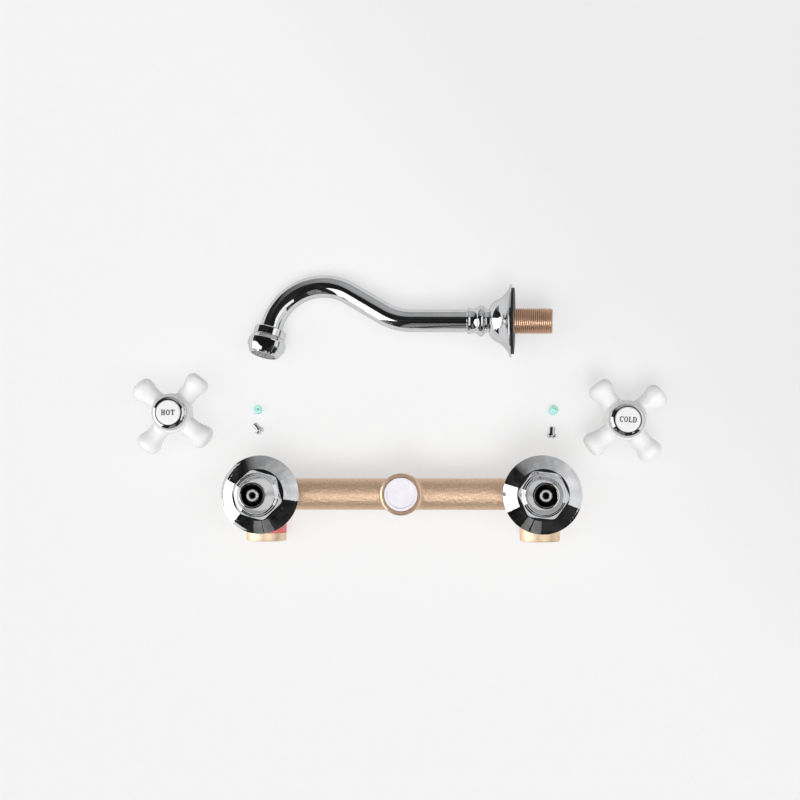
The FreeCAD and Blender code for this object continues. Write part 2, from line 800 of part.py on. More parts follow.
def spout_tube():
    """Tube swept along a straight, a rise, a slope, the hump and a short drop to the nozzle."""
    body = new_body("spout_tube")
    route = new_sketch(body, "XY_Plane")
    start, first, second, third, fourth, fifth = path.points

    def bow(centre, begin, end, radius):
        angles = [math.atan2(point.y - centre.y, point.x - centre.x) for point in (begin, end)]
        return Part.ArcOfCircle(Part.Circle(centre, Vector(0, 0, 1), radius.value), *angles)

    level = route.addGeometry(Part.LineSegment(start, first))
    lift = route.addGeometry(bow(path.low_centre, first, second, z.tube_bend))
    slope = route.addGeometry(Part.LineSegment(second, third))
    hump = route.addGeometry(bow(path.high_centre, fourth, third, z.hump_bend))
    drop = route.addGeometry(Part.LineSegment(fourth, fifth))
    rules = [("PointOnObject", level, 1, -1), ("PointOnObject", level, 2, -1),
             ("Tangent", level, 2, lift, 1), ("Tangent", lift, 2, slope, 1),
             ("Tangent", slope, 2, hump, 2), ("Tangent", hump, 1, drop, 1)]
    for rule in rules:
        route.addConstraint(Sketcher.Constraint(*rule))
    bind(route, route.addConstraint(Sketcher.Constraint("DistanceX", -1, 1, level, 1, start.x)), tube_start)
    bend_point = Sketcher.Constraint("DistanceX", -1, 1, level, 2, first.x)
    bind(route, route.addConstraint(bend_point), first_bend_at)
    for edge, size in ((lift, z.tube_bend), (hump, z.hump_bend)):
        bind(route, route.addConstraint(Sketcher.Constraint("Radius", edge, size.value)), size)
    for edge, size in ((slope, z.tube_slope_length), (drop, z.tube_end_length)):
        bind(route, route.addConstraint(Sketcher.Constraint("Distance", edge, size.value)), size)
    for edge, size in ((slope, z.tube_rise), (drop, z.tube_tilt - QUARTER_TURN)):
        rule = Sketcher.Constraint("Angle", edge, math.radians(size.value))
        bind(route, route.addConstraint(rule), size)
    section = new_sketch(body, "YZ_Plane", tube_start)
    circle(section, z.tube_dia)
    circle(section, z.tube_dia - z.tube_wall * 2)
    sweep = body.newObject("PartDesign::AdditivePipe", "spout_tube_sweep")
    sweep.Profile = section
    sweep.Spine = (route, [f"Edge{index}" for index in range(1, 6)])
    return body


def spout_collar():
    """Turned collar with a bead, between the flange and the tube."""
    tube = z.tube_dia / 2
    waist = tube + z.collar_waist_step
    bead = tube + z.collar_bead_step
    neck = tube + z.collar_neck_step
    lip = tube + z.collar_lip_step
    foot = z.collar_foot
    top = foot + z.collar_length
    bead_foot = foot + z.collar_bead_at - z.collar_bead_width / 2
    bead_top = foot + z.collar_bead_at + z.collar_bead_width / 2
    lip_foot = top - z.collar_lip_width
    flank = bead - neck
    sleeve = tube + z.running_play
    web = z.tail_stub_bore / 2
    stub = z.tail_stub_dia / 2 + z.running_play
    stub_end = foot + z.tail_stub_length + z.running_play
    return turned("spout_collar", [
        (stub, foot), (waist, foot), (waist, foot + z.edge_break, -(bead_foot - foot)),
        (bead - z.edge_break / 2, bead_foot, z.collar_bead_width),
        (bead - z.edge_break / 2, bead_top, -(flank + z.collar_bead_width)),
        (neck, lip_foot - z.edge_break), (lip, lip_foot), (lip, top - z.edge_break / 2),
        (lip - z.edge_break / 2, top), (sleeve, top), (sleeve, tube_start), (web, tube_start),
        (web, stub_end), (stub, stub_end)])


def spout_tail():
    """Brass nipple: threaded tail, plain shank under the flange, and a stub for the collar."""
    thread = z.tail_thread_dia / 2
    shank = z.tail_shank_dia / 2
    bore = z.tail_bore / 2
    stub = z.tail_stub_dia / 2
    stub_bore = z.tail_stub_bore / 2
    root_at = z.tail_stub_length
    thread_at = root_at + z.collar_foot
    end = thread_at + z.tail_length
    return turned("spout_tail", [
        (stub_bore, 0.0), (stub, 0.0), (stub, root_at), (shank, root_at), (shank, thread_at),
        (thread, thread_at), (thread, end - z.edge_break), (thread - z.edge_break, end), (bore, end),
        (bore, root_at + z.edge_break), (stub_bore, root_at)])


def spout_flange():
    """Bell round the tail: a domed shoulder behind the collar and a sweep out to the rim."""
    hole = z.tail_thread_dia / 2 + z.spout_flange_play
    nose = z.spout_flange_nose_dia / 2
    bulge = z.spout_flange_bulge_dia / 2
    rim = z.spout_flange_dia / 2
    back = z.wall_gasket_thickness
    rim_top = back + z.spout_flange_rim
    top = z.collar_foot - z.running_play
    bulge_at = top - z.spout_flange_bulge_at
    sheet = z.spout_flange_sheet
    nose_foot = top - z.spout_flange_sheet * 2
    return turned("spout_flange", [
        (hole, nose_foot), (bulge - sheet * 2, bulge_at - sheet), (bulge - sheet, bulge_at - sheet * 2),
        (rim - sheet * 3, back), (rim, back), (rim, rim_top - sheet / 2, sheet / 2),
        (rim - sheet / 2, rim_top, -z.spout_flange_flare),
        (bulge, bulge_at, z.spout_flange_dome), (nose, top), (hole, top)])


def spout_flange_gasket():
    hole = z.tail_thread_dia / 2 + z.spout_flange_play
    rim = z.wall_gasket_dia / 2
    return turned("spout_flange_gasket", [
        (hole, 0.0), (rim, 0.0), (rim, z.wall_gasket_thickness), (hole, z.wall_gasket_thickness)])


# Nozzle pieces, each along the nozzle's own axis from the top of its ring

spigot_end = z.nozzle_ring_length + z.nozzle_spigot_length
housing_foot = z.nozzle_ring_length + z.aerator_gap
housing_end = housing_foot + z.aerator_length
insert_end = housing_end - z.aerator_lip_thickness
washer_end = spigot_end + z.washer_thickness


def nozzle_ring():
    """Ring brazed on the tube's end, with the spigot that carries the aerator."""
    ring = z.nozzle_ring_dia / 2
    tube = z.tube_dia / 2
    sleeve = tube + z.running_play
    bore = tube - z.tube_wall
    spigot = z.nozzle_spigot_dia / 2
    length = z.nozzle_ring_length
    edge = z.edge_break
    return turned("nozzle_ring", [
        (sleeve, 0.0), (ring - edge, 0.0, edge), (ring, edge), (ring, length - edge / 2),
        (ring - edge / 2, length), (spigot, length), (spigot, spigot_end), (bore, spigot_end),
        (bore, z.nozzle_sleeve), (sleeve, z.nozzle_sleeve)])


def aerator_housing():
    """Chrome cap that screws over the spigot, with two spanner flats on its band."""
    shoulder = z.aerator_shoulder_dia / 2
    band = z.aerator_dia / 2
    mouth = z.aerator_mouth_dia / 2
    thread = z.nozzle_spigot_dia / 2 + z.thread_play
    lip = z.aerator_lip_bore / 2
    band_foot = housing_foot + z.aerator_shoulder_length
    band_end = band_foot + z.aerator_band_length
    edge = z.edge_break
    body = turned("aerator_housing", [
        (thread, housing_foot), (shoulder, housing_foot), (band - edge / 2, band_foot, edge),
        (band, band_foot + edge / 2), (band, band_end - edge / 2, edge), (band - edge / 2, band_end),
        (mouth, housing_end - edge), (mouth - edge, housing_end), (lip, housing_end),
        (lip, insert_end), (thread, insert_end)])
    flats = new_sketch(body, "XY_Plane", band_end - z.aerator_flat_length)
    half = z.aerator_flat_width / 2
    for sign in (-1.0, 1.0):
        near = half * sign
        far = (band + edge) * sign
        low, high = (near, far) if sign > 0 else (far, near)
        rectangle(flats, -band, low, band, high)
    pocket_up(body, flats, z.aerator_flat_length + z.aerator_length)
    return body


def aerator_washer():
    rim = z.nozzle_spigot_dia / 2 - z.running_play
    bore = z.washer_bore / 2
    return turned("aerator_washer", [
        (bore, spigot_end), (rim, spigot_end), (rim, washer_end), (bore, washer_end)])


def aerator_insert():
    """Plastic cup with a slotted floor that mixes air into the water."""
    rim = z.nozzle_spigot_dia / 2 - z.running_play
    wall = rim - z.insert_wall
    floor = insert_end - z.insert_floor
    body = turned("aerator_insert", [
        (0.0, floor), (wall, floor), (wall, washer_end), (rim, washer_end), (rim, insert_end),
        (0.0, insert_end)])
    sketch = new_sketch(body, "XY_Plane", floor)
    half = z.insert_slot_width / 2
    first = z.insert_slot_from_axis
    rectangle(sketch, first, -half, first + z.insert_slot_length, half)
    slot = pocket_up(body, sketch, z.insert_floor)
    polar(body, slot, z.insert_slots)
    return body


# Handle pieces, each round the handle's own axis with the bush standing on the table

hub_foot = z.handle_bush_drop
hub_top = hub_foot + z.hub_height
bush_top = z.handle_bush_height


def handle_bush(side):
    """Broached metal bush: the spindle's splines go in below, the screw's head sits above."""
    outer = z.handle_bush_dia / 2
    broach = z.spline_dia / 2 + z.broach_play
    hole = z.bush_screw_hole / 2
    socket = z.bush_socket_dia / 2
    web_top = z.broach_depth + z.bush_web
    return turned(f"{side}_handle_bush", [
        (broach, 0.0), (outer - z.edge_break / 2, 0.0), (outer, z.edge_break / 2), (outer, bush_top),
        (socket, bush_top), (socket, web_top), (hole, web_top), (hole, z.broach_depth),
        (broach, z.broach_depth)])


def handle_cross(side):
    """Porcelain hub with four bulb-ended arms that flare into it."""
    body = new_body(f"{side}_handle_cross")
    skirt = z.hub_skirt_dia / 2
    waist = z.hub_waist_dia / 2
    hub = z.hub_dia / 2
    crown = z.hub_top_dia / 2
    low = hub_foot + z.hub_belly_low
    high = hub_foot + z.hub_belly_high
    edge = z.edge_break
    turn(body, [(0.0, hub_foot), (skirt - edge, hub_foot, edge), (skirt, hub_foot + edge),
                (skirt, hub_foot + z.hub_skirt_height, edge * 2),
                (waist, hub_foot + z.hub_skirt_height + edge),
                (hub, low), (hub, high, edge * 4), (crown, hub_top - edge, edge), (crown - edge, hub_top),
                (0.0, hub_top)])
    doc.recompute()
    neck = z.arm_neck_dia / 2
    bow = z.arm_waist_bow
    tip = z.arm_tip_round
    flat = z.arm_tip_flat / 2
    bow_height = neck + bow
    reach = bow + tip
    tip_at = z.arm_neck_at + root(reach * reach - (bow_height - flat) * (bow_height - flat))
    share = bow / reach
    join_x = z.arm_neck_at + (tip_at - z.arm_neck_at) * share
    join_y = bow_height - (bow_height - flat) * share
    root_at = z.arm_neck_at - z.arm_root_run
    flare = z.arm_root_bow
    root_y = neck + flare - root(flare * flare - z.arm_root_run * z.arm_root_run)
    arm = new_sketch(body, "XZ_Plane", 0.0)
    level = hub_foot + z.arm_height
    outline(arm, [(root_at, level), (tip_at + tip, level), (tip_at + tip, level + flat, tip),
                  (join_x, level + join_y, -bow), (z.arm_neck_at, level + neck, -flare),
                  (root_at, level + root_y)])
    turned_arm = body.newObject("PartDesign::Revolution", f"{side}_arm")
    turned_arm.Profile = arm
    turned_arm.ReferenceAxis = (arm, ["Edge1"])
    turned_arm.Angle = FULL_TURN
    polar(body, turned_arm, z.arm_count)
    bore = z.handle_bush_dia / 2 + z.bush_fit
    groove(body, [(0.0, hub_foot), (bore, hub_foot), (bore, hub_top), (0.0, hub_top)])
    return body


def index_bezel(side):
    """Chrome button seat: a foot on the porcelain, a dome with a recess, and a stem in the bush."""
    foot = hub_top
    rim = z.bezel_dia / 2
    top = z.bezel_top_dia / 2
    recess = z.index_dia / 2 + z.index_play
    stem = z.bezel_stem_dia / 2
    floor = foot + z.bezel_height - z.index_thickness
    return turned(f"{side}_index_bezel", [
        (0.0, bush_top - z.bezel_stem_length), (stem, bush_top - z.bezel_stem_length), (stem, foot),
        (rim, foot), (rim, foot + z.bezel_foot, z.bezel_round), (top, foot + z.bezel_height),
        (recess, foot + z.bezel_height), (recess, floor), (0.0, floor)])


def index_disc(side):
    """White button with a softly rounded edge, let into the bezel."""
    floor = hub_top + z.bezel_height - z.index_thickness
    rim = z.index_dia / 2
    top = floor + z.index_thickness + z.index_proud
    edge = z.index_proud * 2
    return turned(f"{side}_index_disc", [
        (0.0, floor), (rim, floor), (rim, top - edge, edge), (rim - edge, top), (0.0, top)])


# Fixing screw and plastic plug

def handle_screw(side):
    """Round-headed screw with a driver slot; its point is at the origin of its axis."""
    shank = z.screw_dia / 2
    head = z.screw_head_dia / 2
    seat = z.screw_length
    top = seat + z.screw_head_height
    crown = z.screw_head_height / 2
    edge = z.edge_break / 2
    body = turned(f"{side}_handle_screw", [
        (0.0, 0.0), (shank - edge, 0.0), (shank, edge), (shank, seat), (head, seat),
        (head, seat + crown, crown * 2), (head - crown, top), (0.0, top)])
    slot = new_sketch(body, "XY_Plane", top - z.screw_slot_depth)
    half = z.screw_slot_width / 2
    rectangle(slot, -head, -half, head, half)
    pocket_up(body, slot, z.screw_slot_depth)
    return body


def fixing_plug(side):
    """Soft round-bottomed stopper with a blind hole in its top."""
    bore = z.fixing_plug_bore / 2
    rim = z.fixing_plug_dia / 2
    top = z.fixing_plug_length
    floor = top - z.fixing_plug_depth
    edge = z.edge_break
    return turned(f"{side}_fixing_plug", [
        (0.0, 0.0, rim), (rim, rim), (rim, top - edge, edge), (rim - edge, top), (bore, top),
        (bore, floor), (0.0, floor)])


# Build every piece, in groups that are placed together

valves = {side: [make(side) for make in (
    headwork, headwork_gasket, seat_seal, fixed_disc, turning_disc, spindle, spindle_seals, circlip,
    bonnet, wall_flange)] for side in SIDES}
handles = {side: [make(side) for make in (handle_bush, handle_cross, index_bezel, index_disc)]
           for side in SIDES}
screws = {side: handle_screw(side) for side in SIDES}
plugs = {side: fixing_plug(side) for side in SIDES}
casting = mixer_body()
mark = hot_mark()
transport_plug = outlet_plug()
tube = spout_tube()
axis_pieces = [spout_collar(), spout_flange(), spout_flange_gasket()]
tail = spout_tail()
nozzle_pieces = [nozzle_ring(), aerator_housing(), aerator_washer(), aerator_insert()]
doc.recompute()

faults = [item.Name for item in doc.Objects if {"Invalid", "Error"} & set(item.State)]
if faults:
    raise ValueError(f"objects that failed: {faults}")


# Lay the pieces out from the outlet's axis

UP = Vector(0, 0, 1)


def settle(pieces):
    """Lower or raise pieces together until the lowest of them touches the table."""
    lowest = min(piece.Shape.optimalBoundingBox().ZMin for piece in pieces)
    move(pieces, Placement(Vector(0, 0, -lowest), Rotation()))


def move(pieces, placement):
    for piece in pieces:
        piece.Placement = placement * piece.Placement


def lay(pieces, x, y, rotation, middle_at=0.0):
    """Turn pieces as one, drop them on the table and put a point of their Z axis at (x, y)."""
    point = rotation.multVec(Vector(0, 0, middle_at))
    move(pieces, Placement(Vector(x.value - point.x, y.value - point.y, 0), rotation))
    settle(pieces)


for side, angle in (("hot", z.hot_valve_turn), ("cold", z.cold_valve_turn)):
    axis_at = Vector(z.valve_centres.value * SIDES[side], 0, 0)
    move(valves[side], Placement(axis_at, Rotation(UP, angle.value)))

inlet_mouth = Vector(z.valve_centres.value * SIDES["hot"], -z.inlet_reach.value, z.inlet_height.value)
move([mark], Placement(inlet_mouth, Rotation(Vector(1, 0, 0), -QUARTER_TURN)))

for side, x, y, angle in (("hot", z.hot_handle_x, z.hot_handle_y, z.hot_handle_turn),
                          ("cold", z.cold_handle_x, z.cold_handle_y, z.cold_handle_turn)):
    lay(handles[side], x, y, Rotation(UP, angle.value))

# A screw lies on the edge of its head and the end of its shank.
screw_lean = math.degrees(math.atan2((z.screw_head_dia.value - z.screw_dia.value) / 2, z.screw_length.value))
screw_flat = Rotation(Vector(0, 1, 0), QUARTER_TURN - screw_lean)
screw_middle = (z.screw_length.value + z.screw_head_height.value) / 2
for side, x, y, angle in (("hot", z.hot_screw_x, z.hot_screw_y, z.hot_screw_turn),
                          ("cold", z.cold_screw_x, z.cold_screw_y, z.cold_screw_turn)):
    lay([screws[side]], x, y, Rotation(UP, angle.value) * screw_flat, screw_middle)

# Each plug rocks on its round end, one nearly upright and the other well over.
for side, x, y, angle, lean in (
        ("hot", z.hot_plug_x, z.hot_plug_y, z.hot_plug_turn, z.hot_plug_lean),
        ("cold", z.cold_plug_x, z.cold_plug_y, z.cold_plug_turn, z.cold_plug_lean)):
    leaning = Rotation(UP, angle.value) * Rotation(Vector(0, 1, 0), lean.value)
    lay([plugs[side]], x, y, leaning, z.fixing_plug_length.value / 2)

# The spout's pieces go on its X axis, and the nozzle's on the end of its tube.
onto_axis = Rotation(Vector(0, 1, 0), QUARTER_TURN)
move(axis_pieces, Placement(Vector(), onto_axis))
tail_root = Vector(z.collar_foot.value + z.tail_stub_length.value, 0, 0)
move([tail], Placement(tail_root, Rotation(Vector(0, 1, 0), -QUARTER_TURN)))
nozzle_top = path.points[-1] - path.heading * z.nozzle_sleeve.value
move(nozzle_pieces, Placement(nozzle_top, Rotation(UP, path.heading)))


def resting_turn():
    """Turn that sets the flange's rim, the tube's hump and the aerator's band on the table."""
    band_at = (housing_foot + z.aerator_shoulder_length + z.edge_break / 2).value
    rim_at = (z.wall_gasket_thickness + z.spout_flange_rim - z.spout_flange_sheet / 2).value
    # Each support is a ring: its centre, axis and radius, and the radius of its section.
    supports = [(Vector(rim_at, 0, 0), Vector(1, 0, 0), z.spout_flange_dia.value / 2, 0.0),
                (path.high_centre, UP, z.hump_bend.value, z.tube_dia.value / 2),
                (nozzle_top + path.heading * band_at, path.heading, z.aerator_dia.value / 2, 0.0)]
    lying = Rotation(Vector(1, 0, 0), -FIRST_LEAN) * Rotation(Vector(0, 1, 0), HALF_TURN)
    for _ in range(SETTLING_STEPS):
        feet = []
        for centre, axis, radius, section in supports:
            axis = lying.multVec(axis)
            down = (axis * axis.z - UP).normalize()
            feet.append(lying.multVec(centre) + down * radius - UP * section)
        normal = (feet[1] - feet[0]).cross(feet[2] - feet[0])
        lying = Rotation(normal * math.copysign(1.0, normal.z), UP) * lying
    return lying


spout_pieces = [tube, tail] + axis_pieces + nozzle_pieces
lay(spout_pieces, z.spout_x, z.spout_y, Rotation(UP, z.spout_turn.value) * resting_turn())

pieces = [casting, mark, transport_plug, *spout_pieces]
for side in SIDES:
    pieces += valves[side] + handles[side] + [screws[side], plugs[side]]

# Bring the middle of the whole layout to the origin.
box = FreeCAD.BoundBox()
for piece in pieces:
    box.add(piece.Shape.optimalBoundingBox())
middle = Placement(Vector(-box.Center.x, -box.Center.y, -box.ZMin), Rotation())
move(pieces, middle)

os.makedirs("parts", exist_ok=True)
for piece in pieces:
    if piece.Shape.isNull() or not piece.Shape.isValid():
        raise ValueError(f"{piece.Label} has no valid shape")
for piece in pieces:
    piece.Shape.exportStep(f"parts/{piece.Label}.step")
print(f"layout {box.XLength:.1f} x {box.YLength:.1f} x {box.ZLength:.1f} mm, outlet axis at "
      f"({middle.Base.x:.3f}, {middle.Base.y:.3f})")
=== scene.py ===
import json
import math

import bmesh
import bpy
from mathutils import Matrix, Vector

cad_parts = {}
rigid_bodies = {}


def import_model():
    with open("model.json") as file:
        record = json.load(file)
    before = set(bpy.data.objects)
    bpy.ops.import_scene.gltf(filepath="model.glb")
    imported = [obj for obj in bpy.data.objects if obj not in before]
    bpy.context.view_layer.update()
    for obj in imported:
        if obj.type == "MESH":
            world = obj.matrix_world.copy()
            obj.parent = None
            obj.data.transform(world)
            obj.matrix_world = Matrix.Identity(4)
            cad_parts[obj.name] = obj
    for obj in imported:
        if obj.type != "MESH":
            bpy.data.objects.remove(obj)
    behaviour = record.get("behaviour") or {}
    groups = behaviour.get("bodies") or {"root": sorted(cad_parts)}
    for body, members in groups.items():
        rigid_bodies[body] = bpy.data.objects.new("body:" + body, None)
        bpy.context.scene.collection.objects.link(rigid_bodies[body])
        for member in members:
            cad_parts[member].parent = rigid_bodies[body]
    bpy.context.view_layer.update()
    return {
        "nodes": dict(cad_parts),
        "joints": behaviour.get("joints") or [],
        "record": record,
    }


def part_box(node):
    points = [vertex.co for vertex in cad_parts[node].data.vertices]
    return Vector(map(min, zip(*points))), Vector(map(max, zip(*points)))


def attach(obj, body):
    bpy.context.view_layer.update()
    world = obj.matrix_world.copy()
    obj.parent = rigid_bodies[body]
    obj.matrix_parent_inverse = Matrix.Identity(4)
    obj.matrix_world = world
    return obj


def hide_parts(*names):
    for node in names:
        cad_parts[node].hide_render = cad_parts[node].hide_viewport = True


# The wall mixer tap as it was photographed: taken apart on a pale table, seen from above.
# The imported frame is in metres. Lengths named below are in millimetres, unless a comment gives another
# unit, and MM turns them into metres. Angles are in degrees.

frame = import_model()
nodes = frame["nodes"]
joints = {joint["name"]: joint for joint in frame["joints"]}
mounts = {mount["name"]: mount for mount in frame["record"]["mounts"]}

MM = 0.001
SIDES = ("hot", "cold")
UP = Vector((0, 0, 1))
valve_axis = {side: Vector(joints[f"{side}_spindle_turn"]["pos_m"]) for side in SIDES}
outlet_axis = (valve_axis["hot"] + valve_axis["cold"]) / 2


def show(name, data):
    """Adds an object to the scene."""
    made = bpy.data.objects.new(name, data)
    bpy.context.scene.collection.objects.link(made)
    return made


# Camera

PHOTO_SIDE = 800        # pixels
NADIR_PIXEL = (455, 470)        # what lies straight below the camera
CAMERA_FROM_OUTLET = Vector((34.79, 15.71, 750.0)) * MM
LENS = 50.0
SENSOR = 36.0


def make_camera():
    """Nearly straight down: upright edges in the photo run towards NADIR_PIXEL."""
    data = bpy.data.cameras.new("camera")
    data.lens = LENS
    data.sensor_width = SENSOR
    camera = show("camera", data)
    middle = PHOTO_SIDE / 2
    focal = LENS / SENSOR * PHOTO_SIDE
    up = -Vector((NADIR_PIXEL[0] - middle, middle - NADIR_PIXEL[1], -focal)).normalized()
    along = (Vector((1, 0, 0)) - up * up.x).normalized()
    turn = Matrix((along, up.cross(along), up))
    camera.matrix_world = Matrix.Translation(outlet_axis + CAMERA_FROM_OUTLET) @ turn.to_4x4()
    bpy.context.scene.camera = camera


# Materials

BLACK = (0, 0, 0, 1)
WHITE = (1, 1, 1, 1)
GRAIN_DETAIL = 3.0
BLOTCH_LOW = 0.3        # where a noise's values take the first and the second of two tones
BLOTCH_HIGH = 0.7
METAL_SHEEN = 2        # how many times finer than its tone a finish's sheen is blotched
COAT_SHEEN = 3


def node(tree, kind, **sockets):
    """A shader node with its constant sockets set."""
    made = tree.nodes.new(f"ShaderNode{kind}")
    for socket, value in sockets.items():
        made.inputs[socket].default_value = value
    return made


def place(tree):
    """The point on the surface in the frame's own coordinates, in metres."""
    return node(tree, "TexCoord").outputs["Object"]


def grain(tree, size):
    """Noise whose blotches are about size millimetres across."""
    noise = node(tree, "TexNoise", Scale=1 / (size * MM), Detail=GRAIN_DETAIL)
    tree.links.new(place(tree), noise.inputs["Vector"])
    return noise.outputs["Fac"]


def ramp(tree, factor, *stops):
    """Colours, or greys, spread along a factor."""
    made = node(tree, "ValToRGB")
    elements = made.color_ramp.elements
    while len(elements) < len(stops):
        elements.new(0.5)        # anywhere: its place is set below
    for element, (position, colour) in zip(elements, stops):
        element.position = position
        tone = colour if isinstance(colour, tuple) else (colour, colour, colour)
        element.color = (*tone, 1.0)
    tree.links.new(factor, made.inputs["Fac"])
    return made.outputs["Color"]


def vary(tree, socket, size, tones):
    """Spreads two tones over a socket, in blotches of about size millimetres."""
    low, high = tones
    spread = ramp(tree, grain(tree, size), (BLOTCH_LOW, low), (BLOTCH_HIGH, high))
    tree.links.new(spread, socket)


def add_bump(tree, shader, size, depth):
    """An unevenness of a size and a depth in millimetres."""
    bump = node(tree, "Bump", Distance=depth * MM)
    tree.links.new(grain(tree, size), bump.inputs["Height"])
    tree.links.new(bump.outputs["Normal"], shader.inputs["Normal"])


def material(name, **sockets):
    """A principled material with its constant sockets set, and its tree and shader."""
    made = bpy.data.materials.new(name)
    made.use_nodes = True
    shader = made.node_tree.nodes["Principled BSDF"]
    for socket, value in sockets.items():
        shader.inputs[socket.replace("_", " ")].default_value = value
    return made, made.node_tree, shader


def uneven(name, tones, roughness, blotch, sheen, fine, fine_depth, **sockets):
    """A finish with a blotchy tone, a sheen in smaller blotches and a fine unevenness."""
    made, tree, shader = material(name, **sockets)
    vary(tree, shader.inputs["Base Color"], blotch, tones)
    vary(tree, shader.inputs["Roughness"], sheen, roughness)
    add_bump(tree, shader, fine, fine_depth)
    return made


def metal(name, tones, roughness, blotch, fine, fine_depth, **sockets):
    """Bare or plated metal."""
    return uneven(name, tones, roughness, blotch, blotch / METAL_SHEEN, fine, fine_depth,
                  Metallic=1.0, **sockets)


def coated(name, tones, roughness, blotch, wave, wave_depth, **sockets):
    """Ceramic, plastic, rubber, paint or ink."""
    return uneven(name, tones, roughness, blotch, blotch / COAT_SHEEN, wave, wave_depth, **sockets)


CHROME = metal("chrome", ((0.62, 0.63, 0.64), (0.69, 0.69, 0.70)), (0.015, 0.04),
               9.0, 2.6, 0.024, Specular_Tint=(0.75, 0.75, 0.75, 1))
PLATED_STEEL = metal("plated_steel", ((0.60, 0.60, 0.61), (0.72, 0.72, 0.73)), (0.06, 0.14),
                     1.5, 0.5, 0.02)
STEEL = metal("steel", ((0.80, 0.80, 0.81), (0.92, 0.92, 0.93)), (0.22, 0.34), 1.5, 0.4, 0.02)
# near-black steel: the circlips take it, and so, as painted shade, do the spindles down in the bonnets'
# bores and the insides of their tapped holes
DARK_STEEL_AND_SHADE = metal("oiled_steel", (0.02, 0.05), (0.35, 0.5), 1.5, 0.4, 0.02)
RAW_BRASS = metal("raw_brass", ((0.63, 0.42, 0.28), (0.83, 0.605, 0.435)), (0.36, 0.48),
                  0.9, 1.5, 0.66)
# painted shade: the turned brass that keeps this finish sits down in the bonnets' bores, and its colour
# is made near-black as the shade there
PAINTED_SHADE_BRASS = metal("turned_brass", ((0.20, 0.13, 0.08), (0.28, 0.19, 0.12)), (0.24, 0.34),
                     4.0, 0.5, 0.02)
FACED_BRASS = metal("faced_brass", ((0.84, 0.63, 0.44), (0.92, 0.72, 0.53)), (0.38, 0.50),
                    2.0, 0.6, 0.04, Specular_Tint=(0.72, 0.62, 0.55, 1))
DULL_BRASS = metal("dull_brass", ((0.56, 0.39, 0.26), (0.68, 0.49, 0.34)), (0.18, 0.26),
                   1.5, 0.6, 0.03)
THREAD_BRASS = metal("thread_brass", ((0.52, 0.31, 0.20), (0.62, 0.39, 0.27)), (0.28, 0.36),
                     6.0, 0.5, 0.01, Specular_Tint=(0.75, 0.62, 0.55, 1))
PORCELAIN = coated("porcelain", (0.84, 0.87), (0.06, 0.12), 14.0, 8.0, 0.05)
VALVE_CERAMIC = coated("valve_ceramic", ((0.80, 0.79, 0.76), (0.86, 0.85, 0.82)), (0.25, 0.4),
                       4.0, 0.6, 0.02)
BLACK_RUBBER = coated("black_rubber", (0.006, 0.014), (0.5, 0.7), 3.0, 0.5, 0.05)
RED_PAINT = coated("red_paint", ((0.74, 0.15, 0.145), (0.82, 0.20, 0.19)), (0.35, 0.5),
                   3.0, 0.8, 0.03)
PALE_PLASTIC = coated("pale_plastic", ((0.90, 0.86, 0.94), (0.95, 0.92, 0.97)), (0.25, 0.4),
                      6.0, 2.0, 0.05)
AQUA_PLASTIC = coated("aqua_plastic", ((0.42, 0.84, 0.77), (0.54, 0.92, 0.86)), (0.2, 0.35),
                      2.0, 1.0, 0.04, Subsurface_Weight=0.4, Subsurface_Scale=2.0 * MM)
DARK_PLASTIC = coated("dark_plastic", ((0.03, 0.03, 0.032), (0.06, 0.06, 0.062)), (0.35, 0.5),
                      3.0, 0.6, 0.03)
INK = coated("ink", ((0.02, 0.02, 0.022), (0.05, 0.05, 0.052)), (0.3, 0.45), 1.0, 0.3, 0.01)

FINISH = {"raw_brass": RAW_BRASS, "turned_brass": PAINTED_SHADE_BRASS, "chrome": CHROME, "steel": STEEL,
          "porcelain": PORCELAIN, "valve_ceramic": VALVE_CERAMIC, "black_rubber": BLACK_RUBBER,
          "red_paint": RED_PAINT, "pale_plastic": PALE_PLASTIC, "aqua_plastic": AQUA_PLASTIC,
          "dark_plastic": DARK_PLASTIC}
# small pieces of either side whose finish isn't the usual one of their slot
OTHER_FINISH = {"circlip": DARK_STEEL_AND_SHADE, "handle_screw": PLATED_STEEL}


def dress_nodes():
    """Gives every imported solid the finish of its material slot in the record."""
    for part in frame["record"]["subparts"]:
        usual = FINISH[part["material_slot"]]
        mesh = nodes[part["node"]].data
        mesh.materials.clear()
        mesh.materials.append(OTHER_FINISH.get(part["node"].split("_", 1)[1], usual))


# Pieces in mesh code

SHARP_EDGE = 30.0        # a turned piece's faces that meet at more than this have a sharp edge
EDGE_ROUND = 0.3        # how far a rounded edge lies inside its corner, as a share of its size


def add_piece(name, mesh, body, slot, finish, *replaced):
    """Shows a mesh as a piece that rides on a body, in place of the solids it stands for."""
    mesh.materials.clear()
    mesh.materials.append(finish)
    piece = show(name, mesh)
    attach(piece, body)
    if replaced:
        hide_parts(*replaced)


def on_axis(origin, axis):
    """Placement that puts a local Z axis along an axis through a point."""
    return Matrix.Translation(origin) @ Vector(axis).to_track_quat("Z", "Y").to_matrix().to_4x4()


def upright(centre, height):
    """Placement that leaves the axes as they are, over a point at a height in metres."""
    return Matrix.Translation((*centre.xy, height))


def at_mount(name):
    """A mount's placement, and its radius and length in millimetres."""
    mount = mounts[name]
    placement = on_axis(Vector(mount["pos_m"]), mount["axis"])
    return placement, mount["dims"]["r_mm"], mount["dims"]["length_mm"]


def mesh_of(name, work):
    """Mesh of what a bmesh holds, which is freed."""
    mesh = bpy.data.meshes.new(name)
    work.to_mesh(mesh)
    work.free()
    return mesh


def band(here, there, sides):
    """Quads between two rings of points, by the numbers of their first points."""
    return [(here + k, here + (k + 1) % sides, there + (k + 1) % sides, there + k)
            for k in range(sides)]


